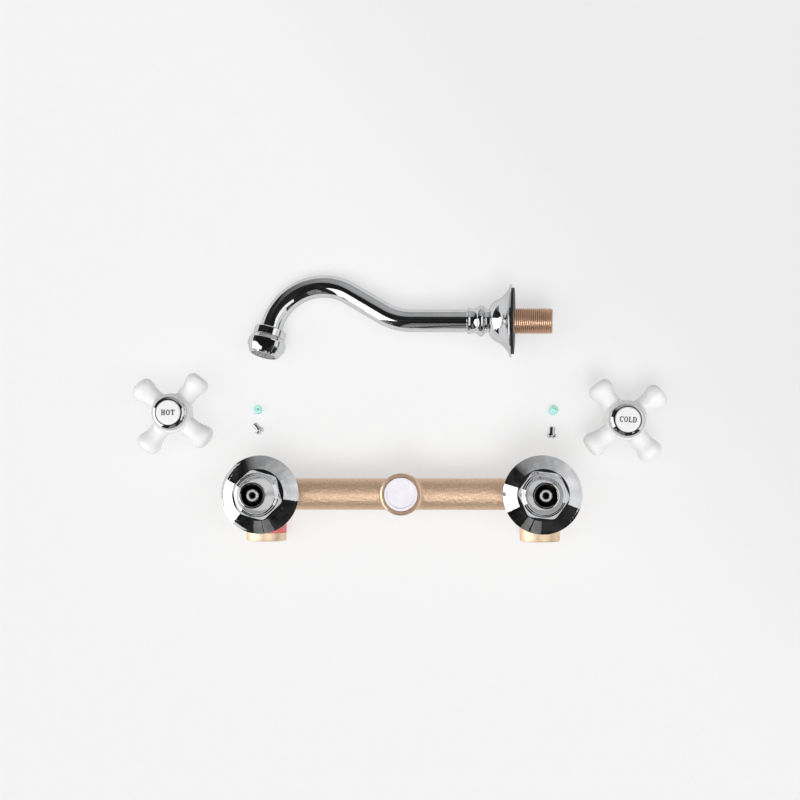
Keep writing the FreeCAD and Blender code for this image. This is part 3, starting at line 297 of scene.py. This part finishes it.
def closed_mesh(name, points, faces):
    """A smooth mesh with all its faces turned to the outside."""
    mesh = bpy.data.meshes.new(name)
    mesh.from_pydata(points, [], faces)
    work = bmesh.new()
    work.from_mesh(mesh)
    bmesh.ops.recalc_face_normals(work, faces=work.faces)
    work.to_mesh(mesh)
    work.free()
    mesh.shade_smooth()
    return mesh


def turned(name, profile, sides, placement):
    """Mesh of a closed profile turned about the local Z axis.

    Each point of the profile is a radius and a height in millimetres. The radius is a number, or
    a function of the share of a turn.
    """
    points = []
    for radius, height in profile:
        for step in range(sides):
            turn = step / sides
            reach = radius(turn) if callable(radius) else radius
            local = (reach * math.cos(math.tau * turn), reach * math.sin(math.tau * turn), height)
            points.append(placement @ (Vector(local) * MM))
    faces = []
    for row in range(len(profile)):
        faces += band(row * sides, (row + 1) % len(profile) * sides, sides)
    mesh = closed_mesh(name, points, faces)
    mesh.set_sharp_from_angle(angle=math.radians(SHARP_EDGE))
    return mesh


def rounded_edge(radius, top, size):
    """Profile over a rounded outer edge, from the top to the side."""
    inset = size * EDGE_ROUND
    return [(radius - size, top), (radius - inset, top - inset), (radius, top - size)]


def evaluated(mesh, *settings):
    """The mesh that a chain of modifiers makes of a mesh; each is a kind and its values."""
    scratch = show("scratch", mesh)
    for kind, values in settings:
        modifier = scratch.modifiers.new(kind, kind)
        for key, value in values.items():
            setattr(modifier, key, value)
    result = scratch.evaluated_get(bpy.context.evaluated_depsgraph_get())
    made = bpy.data.meshes.new_from_object(result)
    bpy.data.objects.remove(scratch)
    return made


CAST_VOXEL = 0.68
CAST_ROUNDS = 10
GLAZE_VOXEL = 0.6
GLAZE_ROUNDS = 30
SMOOTHING = 0.5        # how far each round of smoothing goes, as a share


def blended(solid, voxel, rounds):
    """A solid with its corners run together, as a casting or a glazed piece has them."""
    mesh = evaluated(nodes[solid].data.copy(),
                     ("REMESH", {"mode": "VOXEL", "voxel_size": voxel * MM}),
                     ("SMOOTH", {"factor": SMOOTHING, "iterations": rounds}))
    mesh.shade_smooth()
    return mesh


HANDLE_TURN = {"hot": 51.8, "cold": 37.7}        # the way that an arm points
ARM_LEVEL = 20.0        # height of the arms' axes
ARM_ROOT = 9.0        # distances along an arm from the handle's axis
ARM_FULL = 14.0
ARM_WAIST = 14.0
ARM_WAIST_REACH = 7.0
ARM_TIP = 22.0
ARM_END = 29.0
ARM_CORE = 3.0        # nearer an arm's axis than this, the glaze adds less
GLAZE_BUILD = 0.8        # thickness of the glaze on the arms
GLAZE_WAIST = 0.6        # what it adds at their waist


def eased(value, start, end):
    """From 0 to 1 between two values, without a corner."""
    share = min(1.0, max(0.0, (value - start) / (end - start)))
    return share * share * (3 - 2 * share)


def glazed_cross(side):
    """The porcelain cross with its glaze run into the corners and thick on the arms."""
    mesh = blended(f"{side}_handle_cross", GLAZE_VOXEL, GLAZE_ROUNDS)
    low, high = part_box(f"{side}_handle_bush")
    middle = Vector((*((low + high) / 2).xy, ARM_LEVEL * MM))
    lean = math.radians(HANDLE_TURN[side])
    quarter = math.pi / 2
    for vertex in mesh.vertices:
        away = vertex.co - middle
        arm = lean + quarter * round((math.atan2(away.y, away.x) - lean) / quarter)
        along, across, rise = Matrix.Rotation(-arm, 3, "Z") @ away / MM
        hump = max(0.0, 1 - ((along - ARM_WAIST) / ARM_WAIST_REACH) ** 2) ** 2
        grow = GLAZE_BUILD * eased(along, ARM_ROOT, ARM_FULL) + GLAZE_WAIST * hump
        wider = 1 + grow / max(ARM_CORE, math.hypot(across, rise))
        longer = GLAZE_BUILD * eased(along, ARM_TIP, ARM_END)
        local = Vector((along + longer, across * wider, rise * wider)) * MM
        vertex.co = middle + Matrix.Rotation(arm, 3, "Z") @ local
    add_piece(f"{side}_glazed_cross", mesh, f"{side}_handle", "porcelain", PORCELAIN,
              f"{side}_handle_cross")


THREAD_SIDES = 96
RINGS_PER_PITCH = 10
PIPE_DEPTH = 0.64        # depth of a pipe thread as a share of its pitch
CREST_CUT = 0.2        # how far the wave of a thread is raised before its crests are cut flat


def thread_dip(turn, height, pitch):
    """How far a thread lies below its broad crests, at a share of a turn and a height."""
    rise = math.cos(math.tau * (height / pitch - turn))
    return PIPE_DEPTH * pitch * max(0.0, rise + CREST_CUT) / (1 + CREST_CUT)


def thread_heights(start, end, pitch):
    """Heights of the rings that show a thread."""
    steps = round((end - start) / pitch * RINGS_PER_PITCH)
    return [start + (end - start) * step / steps for step in range(steps + 1)]


INLET_PITCH = 1.814
INLET_RADIUS = 13.04
INLET_SHOWN = 15.4        # length of the turned end outside
INLET_CHAMFER = 0.9
INLET_CLEAR = 11.6        # radius that the casting is opened out to


def threaded_inlet(side):
    """Turned end of an inlet with its inner thread, over the cast body."""
    placement, crest, length = at_mount(f"{side}_inlet")
    mouth = length / 2
    root = crest + PIPE_DEPTH * INLET_PITCH

    def inside(height):
        lead = max(0.0, INLET_CHAMFER - (mouth - height))
        return lambda turn: max(crest + lead, root - thread_dip(turn, height, INLET_PITCH))

    profile = [(inside(height), height) for height in thread_heights(-mouth, mouth, INLET_PITCH)]
    profile += [(root + INLET_CHAMFER / 2, mouth),
                *rounded_edge(INLET_RADIUS, mouth, INLET_CHAMFER),
                (INLET_RADIUS, mouth - INLET_SHOWN), (INLET_CLEAR, mouth - INLET_SHOWN)]
    name = f"{side}_inlet_end"
    add_piece(name, turned(name, profile, THREAD_SIDES, placement), "mixer", "turned_brass",
              FACED_BRASS)


def cast_body():
    """The casting with blended corners, opened out where the inlets' turned ends line it."""
    mesh = blended("mixer_body", CAST_VOXEL, CAST_ROUNDS)
    for side in SIDES:
        placement, _, length = at_mount(f"{side}_inlet")
        away = placement.inverted()
        floor = (CAST_VOXEL - length / 2) * MM
        for vertex in mesh.vertices:
            local = away @ vertex.co
            reach = math.hypot(local.x, local.y)
            if local.z > floor and 0 < reach < INLET_CLEAR * MM:
                grow = INLET_CLEAR * MM / reach
                vertex.co = placement @ Vector((local.x * grow, local.y * grow, local.z))
    add_piece("cast_body", mesh, "mixer", "raw_brass", RAW_BRASS, "mixer_body")


NECK_RADIUS = 13.55
NECK_BORE = 10.92
NECK_SHOWN = 3.0        # how far down the turned face reaches
NECK_EDGE = 1.1
NECK_BURR = 0.3        # chamfer of the bore
NECK_PROUD = 0.02        # how far the turned face stands over the casting
NECK_SIDES = 128


def neck_face():
    """Turned top of the outlet neck, over the cast body."""
    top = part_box("mixer_body")[1].z / MM + NECK_PROUD
    profile = [(NECK_BORE, top - NECK_SHOWN), (NECK_BORE, top - NECK_BURR),
               (NECK_BORE + NECK_BURR, top), *rounded_edge(NECK_RADIUS, top, NECK_EDGE),
               (NECK_RADIUS, top - NECK_SHOWN)]
    mesh = turned("outlet_face", profile, NECK_SIDES, Matrix.Translation(outlet_axis))
    add_piece("outlet_face", mesh, "mixer", "turned_brass", DULL_BRASS)


TAIL_PITCH = 1.337
TAIL_BORE = 5.5
TAIL_SHANK = 8.1
TAIL_SHANK_LENGTH = 16.0
TAIL_STUB = 6.0
TAIL_STUB_BORE = 4.5
TAIL_STUB_LENGTH = 3.6
TAIL_CHAMFER = 1.0


def threaded_tail():
    """The spout's nipple with its thread cut, in place of the plain solid."""
    placement, crest, length = at_mount("spout_tail")
    half = length / 2
    end = half + TAIL_CHAMFER

    def outside(height):
        cap = min(crest, crest - (height - half))
        return lambda turn: min(cap, crest - thread_dip(turn, height, TAIL_PITCH))

    profile = [(outside(height), height) for height in thread_heights(-half, end, TAIL_PITCH)]
    shoulder = -half - TAIL_SHANK_LENGTH
    foot = shoulder - TAIL_STUB_LENGTH
    profile += [(TAIL_BORE, end), (TAIL_BORE, shoulder), (TAIL_STUB_BORE, shoulder),
                (TAIL_STUB_BORE, foot), (TAIL_STUB, foot), (TAIL_STUB, shoulder),
                (TAIL_SHANK, shoulder), (TAIL_SHANK, -half)]
    mesh = turned("threaded_tail", profile, THREAD_SIDES, placement)
    add_piece("threaded_tail", mesh, "spout", "turned_brass", THREAD_BRASS, "spout_tail")


CHROME_SIDES = 256
HEX_SIDES = 6
BONNET_TURN = {"hot": 44.0, "cold": 54.0}        # the way that a corner points
# radii of the bonnet's steps, and heights above its foot
BONNET_SKIRT = 15.0
BONNET_COLLAR = 16.3
BONNET_COLLAR_AT = (5.9, 8.9)
BONNET_FLAT = 14.5
BONNET_HEX_TOP = 13.3
# radius and height of each point of the turned beads above the hexagon
BONNET_BEADS = ((16.1, 13.7), (15.5, 14.2), (14.9, 14.8), (14.3, 15.6), (13.9, 16.2), (13.4, 16.5),
                (13.05, 16.7), (12.85, 17.2), (12.7, 17.5), (12.2, 17.8), (11.8, 18.1), (11.6, 18.5))
BONNET_TAPER_TOP = 28.4
BONNET_TAPER_RADIUS = 8.5
BONNET_RING = 8.2
BONNET_BORE = 7.0
BONNET_STEP_AT = 11.1
BONNET_THREAD = 8.8
BONNET_EDGE = 0.4
TAPER_ROWS = 24
CORNER_POWER = 14.5        # the higher, the crisper the hexagon's corners
POLISH = 40.0        # the higher, the crisper the edge where the turning meets the flats


def hexagon_reach(lean, turned_to=None):
    """Radius of the hexagon by the share of a turn, or of one that is turned down to a radius."""
    def reach(turn):
        angle = math.tau * turn - lean - math.pi / HEX_SIDES
        sides = (math.cos(angle - math.tau * k / HEX_SIDES) for k in range(HEX_SIDES))
        total = sum(max(0.0, side) ** CORNER_POWER for side in sides)
        flats = BONNET_FLAT / total ** (1 / CORNER_POWER)
        if not turned_to:
            return flats
        return (flats ** -POLISH + turned_to ** -POLISH) ** (-1 / POLISH)
    return reach


def soft_bonnet(side):
    """The bonnet as it is turned and polished: a soft hexagon under two beads and a taper."""
    low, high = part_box(f"{side}_bonnet")
    top = (high.z - low.z) / MM
    lean = math.radians(BONNET_TURN[side])
    foot, shelf = BONNET_COLLAR_AT
    profile = [(BONNET_SKIRT, 0), (BONNET_SKIRT, foot), (BONNET_COLLAR, foot), (BONNET_COLLAR, shelf)]
    profile += [(hexagon_reach(lean), height) for height in (shelf, BONNET_HEX_TOP)]
    profile += [(hexagon_reach(lean, radius), height) for radius, height in BONNET_BEADS]
    last_radius, last_height = BONNET_BEADS[-1]
    for row in range(1, TAPER_ROWS + 1):
        share = row / TAPER_ROWS
        profile.append((last_radius + (BONNET_TAPER_RADIUS - last_radius) * share,
                        last_height + (BONNET_TAPER_TOP - last_height) * share))
    profile += [(BONNET_RING, BONNET_TAPER_TOP + BONNET_EDGE),
                *reversed(rounded_edge(BONNET_RING, top, BONNET_EDGE)),
                (BONNET_BORE + BONNET_EDGE / 2, top), (BONNET_BORE, top - BONNET_EDGE / 2),
                (BONNET_BORE, BONNET_STEP_AT), (BONNET_THREAD, BONNET_STEP_AT), (BONNET_THREAD, 0)]
    name = f"{side}_soft_bonnet"
    mesh = turned(name, profile, CHROME_SIDES, upright(valve_axis[side], low.z))
    add_piece(name, mesh, "mixer", "chrome", CHROME, f"{side}_bonnet")


FLANGE_RIM = 25.0
FLANGE_RIM_HEIGHT = 0.6
FLANGE_LIP = 16.4
FLANGE_HOLE = 16.0
FLANGE_SHEET = 1.2
FLANGE_BOW = 0.28        # how far the slope bulges over a straight cone
FLANGE_ROWS = 48
RIPPLE = 0.018
RIPPLE_PITCH = 2.5


def spun_flange(side):
    """The wall flange with the faint rings that spinning leaves, and a crisp rim."""
    low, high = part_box(f"{side}_wall_flange")
    top = (high.z - low.z) / MM
    profile = []
    for row in range(FLANGE_ROWS + 1):
        share = row / FLANGE_ROWS
        radius = FLANGE_RIM + (FLANGE_LIP - FLANGE_RIM) * share
        bow = FLANGE_BOW * math.sin(math.pi * share)
        wave = RIPPLE * math.sin(math.tau * radius / RIPPLE_PITCH) * math.sin(math.pi * share)
        cone = FLANGE_RIM_HEIGHT + (top - FLANGE_RIM_HEIGHT) * share
        profile.append((radius, cone + bow + wave))
    under = top - FLANGE_SHEET
    profile += [(FLANGE_HOLE, top), (FLANGE_HOLE, under), (FLANGE_LIP, under),
                (FLANGE_RIM - 2 * FLANGE_SHEET, 0), (FLANGE_RIM, 0)]
    name = f"{side}_spun_flange"
    mesh = turned(name, profile, CHROME_SIDES, upright(valve_axis[side], low.z))
    add_piece(name, mesh, f"{side}_wall_flange", "chrome", CHROME, f"{side}_wall_flange")


SPLINE_TEETH = 20
SPLINE_RADIUS = 4.1
SPLINE_DEPTH = 0.5
SPLINE_LENGTH = 15.2
SPLINE_SHARE = 0.6        # how much of the pitch a groove takes at its mouth
SPLINE_SHARP = 25.0        # as SHARP_EDGE, on the spindle
TAP_RADIUS = 1.65
TAP_MOUTH = 2.5        # radius of the countersink
CUT_CLEAR = 0.4        # how far the cutter stands out of what it cuts
TIP_BRIGHT = 5.0        # length of the tip left bright; below it the spindle is painted near-black as the shade of the bonnet's bore
WELD_WITHIN = 0.001


def tip_cutter(name, centre, top):
    """What is cut from a plain spindle tip: V grooves round it and a countersink in its end."""
    work = bmesh.new()
    reach = SPLINE_RADIUS + CUT_CLEAR
    half = reach * math.tau / SPLINE_TEETH * SPLINE_SHARE / 2
    wedge = [(SPLINE_RADIUS - SPLINE_DEPTH, 0), (reach, half), (reach, -half)]
    count = len(wedge)
    for tooth in range(SPLINE_TEETH):
        spin = Matrix.Rotation(math.tau * tooth / SPLINE_TEETH, 4, "Z")
        bottom, lid = [[work.verts.new(spin @ Vector((x, y, height))) for x, y in wedge]
                       for height in (-SPLINE_LENGTH, CUT_CLEAR)]
        work.faces.new(bottom)
        work.faces.new(lid)
        for k in range(count):
            work.faces.new((bottom[k], bottom[(k + 1) % count], lid[(k + 1) % count], lid[k]))
    deep = TAP_MOUTH - TAP_RADIUS
    bmesh.ops.create_cone(work, cap_ends=True, segments=THREAD_SIDES, radius1=TAP_RADIUS - deep,
                          radius2=TAP_MOUTH + CUT_CLEAR, depth=2 * deep + CUT_CLEAR,
                          matrix=Matrix.Translation((0, 0, CUT_CLEAR / 2 - deep)))
    bmesh.ops.recalc_face_normals(work, faces=work.faces)
    mesh = mesh_of(name, work)
    mesh.transform(upright(centre, top) @ Matrix.Scale(MM, 4))
    return show(name, mesh)


def splined_spindle(side):
    """The spindle with its splines and countersink cut, in place of the plain solid."""
    axis = valve_axis[side]
    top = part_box(f"{side}_spindle")[1].z
    cutter = tip_cutter("cutter", axis, top)
    mesh = evaluated(nodes[f"{side}_spindle"].data.copy(),
                     ("WELD", {"merge_threshold": WELD_WITHIN * MM}),
                     ("BOOLEAN", {"operation": "DIFFERENCE", "solver": "EXACT", "object": cutter}))
    bpy.data.objects.remove(cutter)
    mesh.shade_smooth()
    mesh.set_sharp_from_angle(angle=math.radians(SPLINE_SHARP))
    add_piece(f"{side}_splined_spindle", mesh, f"{side}_spindle", "steel", STEEL, f"{side}_spindle")
    # painted shade: the spindle below its bright tip, down in the bonnet's bore, and the inside of its
    # tapped hole take the near-black steel
    mesh.materials.append(DARK_STEEL_AND_SHADE)
    for face in mesh.polygons:
        off_axis = (face.center - axis).xy.length
        depth = top - face.center.z
        if depth > TIP_BRIGHT * MM or (off_axis < TAP_RADIUS * MM and depth > 0):
            face.material_index = 1


WIRE_RADIUS = 0.14
WIRE_PITCH = 1.0
WIRE_SIDES = 6
WIRE_POINTS = 8        # points along each pitch
SCREEN_RADIUS = 8.1
SCREEN_SET_BACK = 0.5


def wire_rings(wire, across):
    """Rings of points along a wire, which goes over and under the ones that cross it."""
    offset = wire * WIRE_PITCH
    half = math.sqrt(SCREEN_RADIUS ** 2 - offset ** 2)
    steps = round(2 * half / WIRE_PITCH * WIRE_POINTS)
    rings = []
    for step in range(steps + 1):
        along = -half + 2 * half * step / steps
        swing = math.cos(math.pi * (along / WIRE_PITCH + wire)) * WIRE_RADIUS
        height = -swing if across else swing
        ring = []
        for k in range(WIRE_SIDES):
            angle = math.tau * k / WIRE_SIDES
            side, rise = WIRE_RADIUS * math.cos(angle), WIRE_RADIUS * math.sin(angle)
            flat = (offset + side, along) if across else (along, offset + side)
            ring.append(Vector((*flat, height + rise)))
        rings.append(ring)
    return rings


def woven_screen():
    """Woven wire in the aerator's mouth, over the insert's flat end."""
    axis = Vector(joints["aerator_off"]["axis"]).normalized()
    housing = [vertex.co for vertex in nodes["aerator_housing"].data.vertices]
    middle = sum(housing, Vector()) / len(housing)
    mouth = max((point - middle).dot(axis) for point in housing)
    placement = on_axis(middle + axis * (mouth - SCREEN_SET_BACK * MM), axis)
    count = int(SCREEN_RADIUS / WIRE_PITCH)
    points, faces = [], []
    for across in (False, True):
        for wire in range(-count, count + 1):
            first = len(points)
            for ring in wire_rings(wire, across):
                here = len(points)
                points += [placement @ (point * MM) for point in ring]
                if here > first:
                    faces += band(here, here - WIRE_SIDES, WIRE_SIDES)
            faces += [tuple(range(end, end + WIRE_SIDES)) for end in (first, here)]
    mesh = closed_mesh("woven_screen", points, faces)
    add_piece("woven_screen", mesh, "aerator", "steel", PLATED_STEEL)


# Slab letters one unit high: their width and their strokes. A bar has its two corners, and a bow its
# centre, its outer and inner reach each way, and the angles that it runs between.
LETTERS = {
    "H": (0.90, [("bar", 0.08, 0.0, 0.34, 1.0), ("bar", 0.56, 0.0, 0.82, 1.0),
                 ("bar", 0.34, 0.42, 0.56, 0.58), ("bar", 0.0, 0.0, 0.42, 0.13),
                 ("bar", 0.48, 0.0, 0.90, 0.13), ("bar", 0.0, 0.87, 0.42, 1.0),
                 ("bar", 0.48, 0.87, 0.90, 1.0)]),
    "O": (0.90, [("bow", 0.45, 0.5, 0.45, 0.52, 0.19, 0.38, 0, 360)]),
    "T": (0.86, [("bar", 0.30, 0.0, 0.56, 1.0), ("bar", 0.0, 0.86, 0.86, 1.0),
                 ("bar", 0.18, 0.0, 0.68, 0.13), ("bar", 0.0, 0.64, 0.12, 0.86),
                 ("bar", 0.74, 0.64, 0.86, 0.86)]),
    "C": (0.86, [("bow", 0.46, 0.5, 0.46, 0.52, 0.20, 0.38, 42, 322),
                 ("bar", 0.74, 0.64, 0.86, 1.0)]),
    "L": (0.78, [("bar", 0.08, 0.0, 0.34, 1.0), ("bar", 0.0, 0.87, 0.42, 1.0),
                 ("bar", 0.0, 0.0, 0.78, 0.14), ("bar", 0.66, 0.14, 0.78, 0.38)]),
    "D": (0.90, [("bar", 0.08, 0.0, 0.34, 1.0), ("bar", 0.0, 0.0, 0.44, 0.13),
                 ("bar", 0.0, 0.87, 0.44, 1.0),
                 ("bow", 0.42, 0.5, 0.48, 0.5, 0.22, 0.37, -90, 90)]),
}
LETTER_MIDDLE = 0.5        # of a letter's height
LETTER_GAP = 0.13
LETTER_HEIGHT = 3.6
LETTER_INK = 0.05
BOW_STEPS = 24
WORDS = {"hot": ("HOT", 9.0, 0.0), "cold": ("COLD", 11.0, -3.0)}        # word, width and turn


def bow_quads(x, y, width, height, inner_width, inner_height, first, last):
    """Quads of a bow between two ellipses."""
    angles = [math.radians(first + (last - first) * step / BOW_STEPS) for step in range(BOW_STEPS + 1)]
    outer = [(x + width * math.cos(a), y + height * math.sin(a)) for a in angles]
    inner = [(x + inner_width * math.cos(a), y + inner_height * math.sin(a)) for a in angles]
    return [(outer[k], outer[k + 1], inner[k + 1], inner[k]) for k in range(BOW_STEPS)]


def word_quads(word):
    """Quads of a word about its middle, in units of a letter's height, and its length."""
    length = sum(LETTERS[letter][0] for letter in word) + LETTER_GAP * (len(word) - 1)
    quads, start = [], -length / 2
    for letter in word:
        advance, strokes = LETTERS[letter]
        for kind, *shape in strokes:
            if kind == "bar":
                x0, y0, x1, y1 = shape
                found = [((x0, y0), (x1, y0), (x1, y1), (x0, y1))]
            else:
                found = bow_quads(*shape)
            quads += [[(start + x, y - LETTER_MIDDLE) for x, y in quad] for quad in found]
        start += advance + LETTER_GAP
    return quads, length


def letter_word(side):
    """HOT or COLD in raised ink on an index disc."""
    word, width, turn = WORDS[side]
    quads, length = word_quads(word)
    low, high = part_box(f"{side}_index_disc")
    placement = upright((low + high) / 2, high.z) @ Matrix.Rotation(math.radians(turn), 4, "Z")
    spread = width / length
    work = bmesh.new()
    for quad in quads:
        corners = [Vector((x * spread, y * LETTER_HEIGHT, LETTER_INK)) * MM for x, y in quad]
        work.faces.new([work.verts.new(placement @ corner) for corner in corners])
    bmesh.ops.recalc_face_normals(work, faces=work.faces)
    walls = bmesh.ops.extrude_face_region(work, geom=work.faces[:])
    dropped = [item for item in walls["geom"] if isinstance(item, bmesh.types.BMVert)]
    bmesh.ops.translate(work, verts=dropped, vec=(0, 0, -LETTER_INK * MM))
    bmesh.ops.recalc_face_normals(work, faces=work.faces)
    add_piece(f"{side}_word", mesh_of(f"{side}_word", work), f"{side}_index", "dark_plastic", INK)


def make_pieces():
    """All the pieces in mesh code."""
    cast_body()
    neck_face()
    threaded_tail()
    woven_screen()
    for side in SIDES:
        threaded_inlet(side)
        soft_bonnet(side)
        spun_flange(side)
        splined_spindle(side)
        letter_word(side)
        glazed_cross(side)


# Table, backdrop, lights and the cards that the chrome mirrors

def set_stage(name, mesh, finish):
    """Adds a mesh that isn't part of the object."""
    mesh.materials.append(finish)
    made = show(name, mesh)
    return made


def flat_mesh(name, corners):
    """Mesh of one face."""
    mesh = bpy.data.meshes.new(name)
    mesh.from_pydata(corners, [], [tuple(range(len(corners)))])
    return mesh


def show_only(thing, camera=False, glossy=False):
    """Keeps a stage piece out of every light path but the ones named."""
    thing.visible_camera = camera
    thing.visible_glossy = glossy
    thing.visible_diffuse = False
    thing.visible_transmission = False
    thing.visible_shadow = False


FLOOR_REACH = 5.0        # metres
FLOOR_SIDES = 96
TABLE_BRIGHTNESS = 0.9
TABLE_GLOW = 0.55        # the part of that brightness that comes through the table, so shadows stay pale
TABLE_ROUGHNESS = (0.85, 0.95)
TABLE_BLOTCH = 30.0
TABLE_WAVE = 3.0
TABLE_WAVE_DEPTH = 0.02
# how the light falls off towards the top right: brightness by the distance that way from the origin
TABLE_DIM_TURN = 38.0
TABLE_DIM = ((60, 1.0), (210, 0.82), (400, 0.82), (1000, 1.0))
TABLE_DIM_REACH = 1.0        # metres that the ramp covers to each side of the origin


def make_table():
    """The pale table that the pieces lie on."""
    finish, tree, shader = material("table", Specular_IOR_Level=0.0, Emission_Color=WHITE,
                                    Emission_Strength=TABLE_GLOW)
    vary(tree, shader.inputs["Roughness"], TABLE_BLOTCH, TABLE_ROUGHNESS)
    add_bump(tree, shader, TABLE_WAVE, TABLE_WAVE_DEPTH)
    middle = 0.5        # of the ramp
    scale = middle / TABLE_DIM_REACH
    shift = node(tree, "Mapping", Location=(middle, 0, 0), Scale=(scale, scale, 1),
                 Rotation=(0, 0, -math.radians(TABLE_DIM_TURN)))
    tree.links.new(place(tree), shift.inputs["Vector"])
    parts = node(tree, "SeparateXYZ")
    tree.links.new(shift.outputs["Vector"], parts.inputs["Vector"])
    shade = TABLE_BRIGHTNESS - TABLE_GLOW
    stops = [(middle + distance * MM * scale, shade * share) for distance, share in TABLE_DIM]
    tree.links.new(ramp(tree, parts.outputs["X"], *stops), shader.inputs["Base Color"])
    angles = [math.tau * step / FLOOR_SIDES for step in range(FLOOR_SIDES)]
    corners = [(FLOOR_REACH * math.cos(a), FLOOR_REACH * math.sin(a), 0) for a in angles]
    set_stage("table", flat_mesh("table", corners), finish)


BACKDROP_REACH = 6.0        # metres
BACKDROP_ROUNDS = 4


def make_backdrop():
    """A shell as bright as the table, for the camera alone."""
    shell = bmesh.new()
    bmesh.ops.create_icosphere(shell, subdivisions=BACKDROP_ROUNDS, radius=BACKDROP_REACH)
    finish = material("backdrop", Base_Color=BLACK, Specular_IOR_Level=0.0, Emission_Color=WHITE,
                      Emission_Strength=TABLE_BRIGHTNESS)[0]
    show_only(set_stage("backdrop", mesh_of("backdrop", shell), finish), camera=True)


# Each card stands upright: its two ends from the outlet's axis, its foot and head above the table, and
# its brightness at shares of its length.
CARDS = {
    "west": ((-438, -296), (-900, 290), 0, 900, ((0, 2.1), (1, 2.1))),
    "north": ((-480, 596), (900, 596), 0, 740, ((0, 0.03), (0.16, 0.36), (1, 0.80))),
    "east": ((358, -100), (358, 320), 0, 340, ((0, 1.0), (1, 0.84))),
    "east_high": ((358, -330), (358, 320), 340, 800, ((0, 1.3), (1, 1.3))),
    "south_west": ((-320, -701), (-130, -701), 0, 1200, ((0, 0.24), (1, 0.32))),
    "south": ((-118, -778), (102, -778), 0, 1200, ((0, 0.32), (1, 0.22))),
}
CARD_BLOTCH = 160.0
CARD_TONES = (0.78, 1.2)


def make_cards():
    """The cards round the table, which only reflections show."""
    for name, (start, end, foot, head, stops) in CARDS.items():
        ends = [outlet_axis + Vector((*point, 0)) * MM for point in (start, end)]
        low = [point + UP * foot * MM for point in ends]
        high = [point + UP * head * MM for point in reversed(ends)]
        finish, tree, shader = material(f"{name}_card", Base_Color=BLACK, Specular_IOR_Level=0.0)
        vary(tree, shader.inputs["Emission Strength"], CARD_BLOTCH, CARD_TONES)
        parts = node(tree, "SeparateXYZ")
        tree.links.new(node(tree, "TexCoord").outputs["Generated"], parts.inputs["Vector"])
        along = "X" if start[0] != end[0] else "Y"
        tree.links.new(ramp(tree, parts.outputs[along], *stops), shader.inputs["Emission Color"])
        card = set_stage(f"{name}_card", flat_mesh(f"{name}_card", low + high), finish)
        show_only(card, glossy=True)


# The direction that each light comes from, its strength, how wide it looks, and what it lights. A lamp
# for certain finishes shows in them as a highlight; the others only light what is matt.
LIGHTS = {
    "key": ((0.0, -0.45, 0.9), 1.3, 30, "table"),
    "overhead": ((0.0, -0.15, 1.0), 1.25, 70, "all"),
    "left": ((-0.85, -0.2, 0.8), 0.55, 50, "all"),
    "right": ((0.85, -0.2, 0.8), 0.55, 50, "all"),
    "soft_key": ((0.0, -0.45, 0.85), 1.2, 110, "pieces"),
    "cast_key": ((0.0, -0.50, 0.87), 0.95, 36, (RAW_BRASS,)),
    "thread_key": ((0.0, -0.50, 0.87), 1.5, 32, (THREAD_BRASS,)),
    "thread_top": ((0.0, 0.0, 1.0), 0.7, 120, (THREAD_BRASS,)),
    "thread_right": ((0.75, -0.2, 0.66), 0.6, 30, (THREAD_BRASS,)),
    "inlet_left": ((-0.9, -0.1, 0.45), 1.9, 34, (FACED_BRASS,)),
    "inlet_top": ((0.45, 0.0, 0.9), 1.0, 60, (FACED_BRASS,)),
    "neck_left": ((-0.8, -0.15, 0.6), 4.5, 46, (DULL_BRASS,)),
    "glaze_light": ((-0.3, -0.45, 0.85), 0.35, 9, (PORCELAIN,)),
    "plug_light": ((-0.4, -0.3, 0.85), 0.35, 60, (AQUA_PLASTIC,)),
    "satin_fill": ((0.1, 0.0, 1.0), 1.5, 130, (RAW_BRASS, FACED_BRASS, DULL_BRASS, STEEL)),
}
# the photo's table is bleached round the pieces so named: the key leaves no shadow of them
BLEACHED = "hot_"


def group_of(name, wanted):
    """The meshes that answer to a test, for a light to be kept to."""
    group = bpy.data.collections.new(name)
    for thing in bpy.context.scene.objects:
        if thing.type == "MESH" and wanted(thing):
            group.objects.link(thing)
    return group


def make_lights():
    """Every light is a sun, so it falls the same way on all the pieces."""
    for name, (toward, strength, spread, lit) in LIGHTS.items():
        data = bpy.data.lights.new(name, "SUN")
        data.energy = strength
        data.angle = math.radians(spread)
        lamp = show(name, data)
        lamp.rotation_euler = Vector(toward).to_track_quat("Z", "Y").to_euler()
        lamp.visible_glossy = isinstance(lit, tuple)
        linking = lamp.light_linking
        if lit == "table":
            linking.receiver_collection = group_of(name, lambda thing: thing.name == "table")
            linking.blocker_collection = group_of(
                f"{name}_shadows", lambda thing: not thing.name.startswith(BLEACHED))
        elif lit == "pieces":
            linking.receiver_collection = group_of(name, lambda thing: thing.name != "table")
        elif lit != "all":
            linking.receiver_collection = group_of(
                name, lambda thing: thing.data.materials[0] in lit)


ROOM_SCALE = 3.0
ROOM_TONES = ((0.35, 0.008), (0.65, 0.045))        # brightness by the value of the noise
COLOURED = (RAW_BRASS, FACED_BRASS, DULL_BRASS, THREAD_BRASS, AQUA_PLASTIC, RED_PAINT)


def make_room():
    """The dim room that the chrome mirrors between the cards."""
    world = bpy.data.worlds.new("room")
    world.use_nodes = True
    tree = world.node_tree
    noise = node(tree, "TexNoise", Scale=ROOM_SCALE)
    tree.links.new(node(tree, "TexCoord").outputs["Generated"], noise.inputs["Vector"])
    tree.links.new(ramp(tree, noise.outputs["Fac"], *ROOM_TONES),
                   tree.nodes["Background"].inputs["Color"])
    bpy.context.scene.world = world
    bpy.context.scene.view_settings.view_transform = "Standard"


def hide_coloured():
    """As in the photo, the chrome mirrors nothing coloured."""
    for thing in bpy.context.scene.objects:
        if thing.type == "MESH" and thing.data.materials[0] in COLOURED:
            thing.visible_glossy = False


make_camera()
dress_nodes()
make_pieces()
make_table()
make_backdrop()
make_cards()
make_lights()
make_room()
hide_coloured()
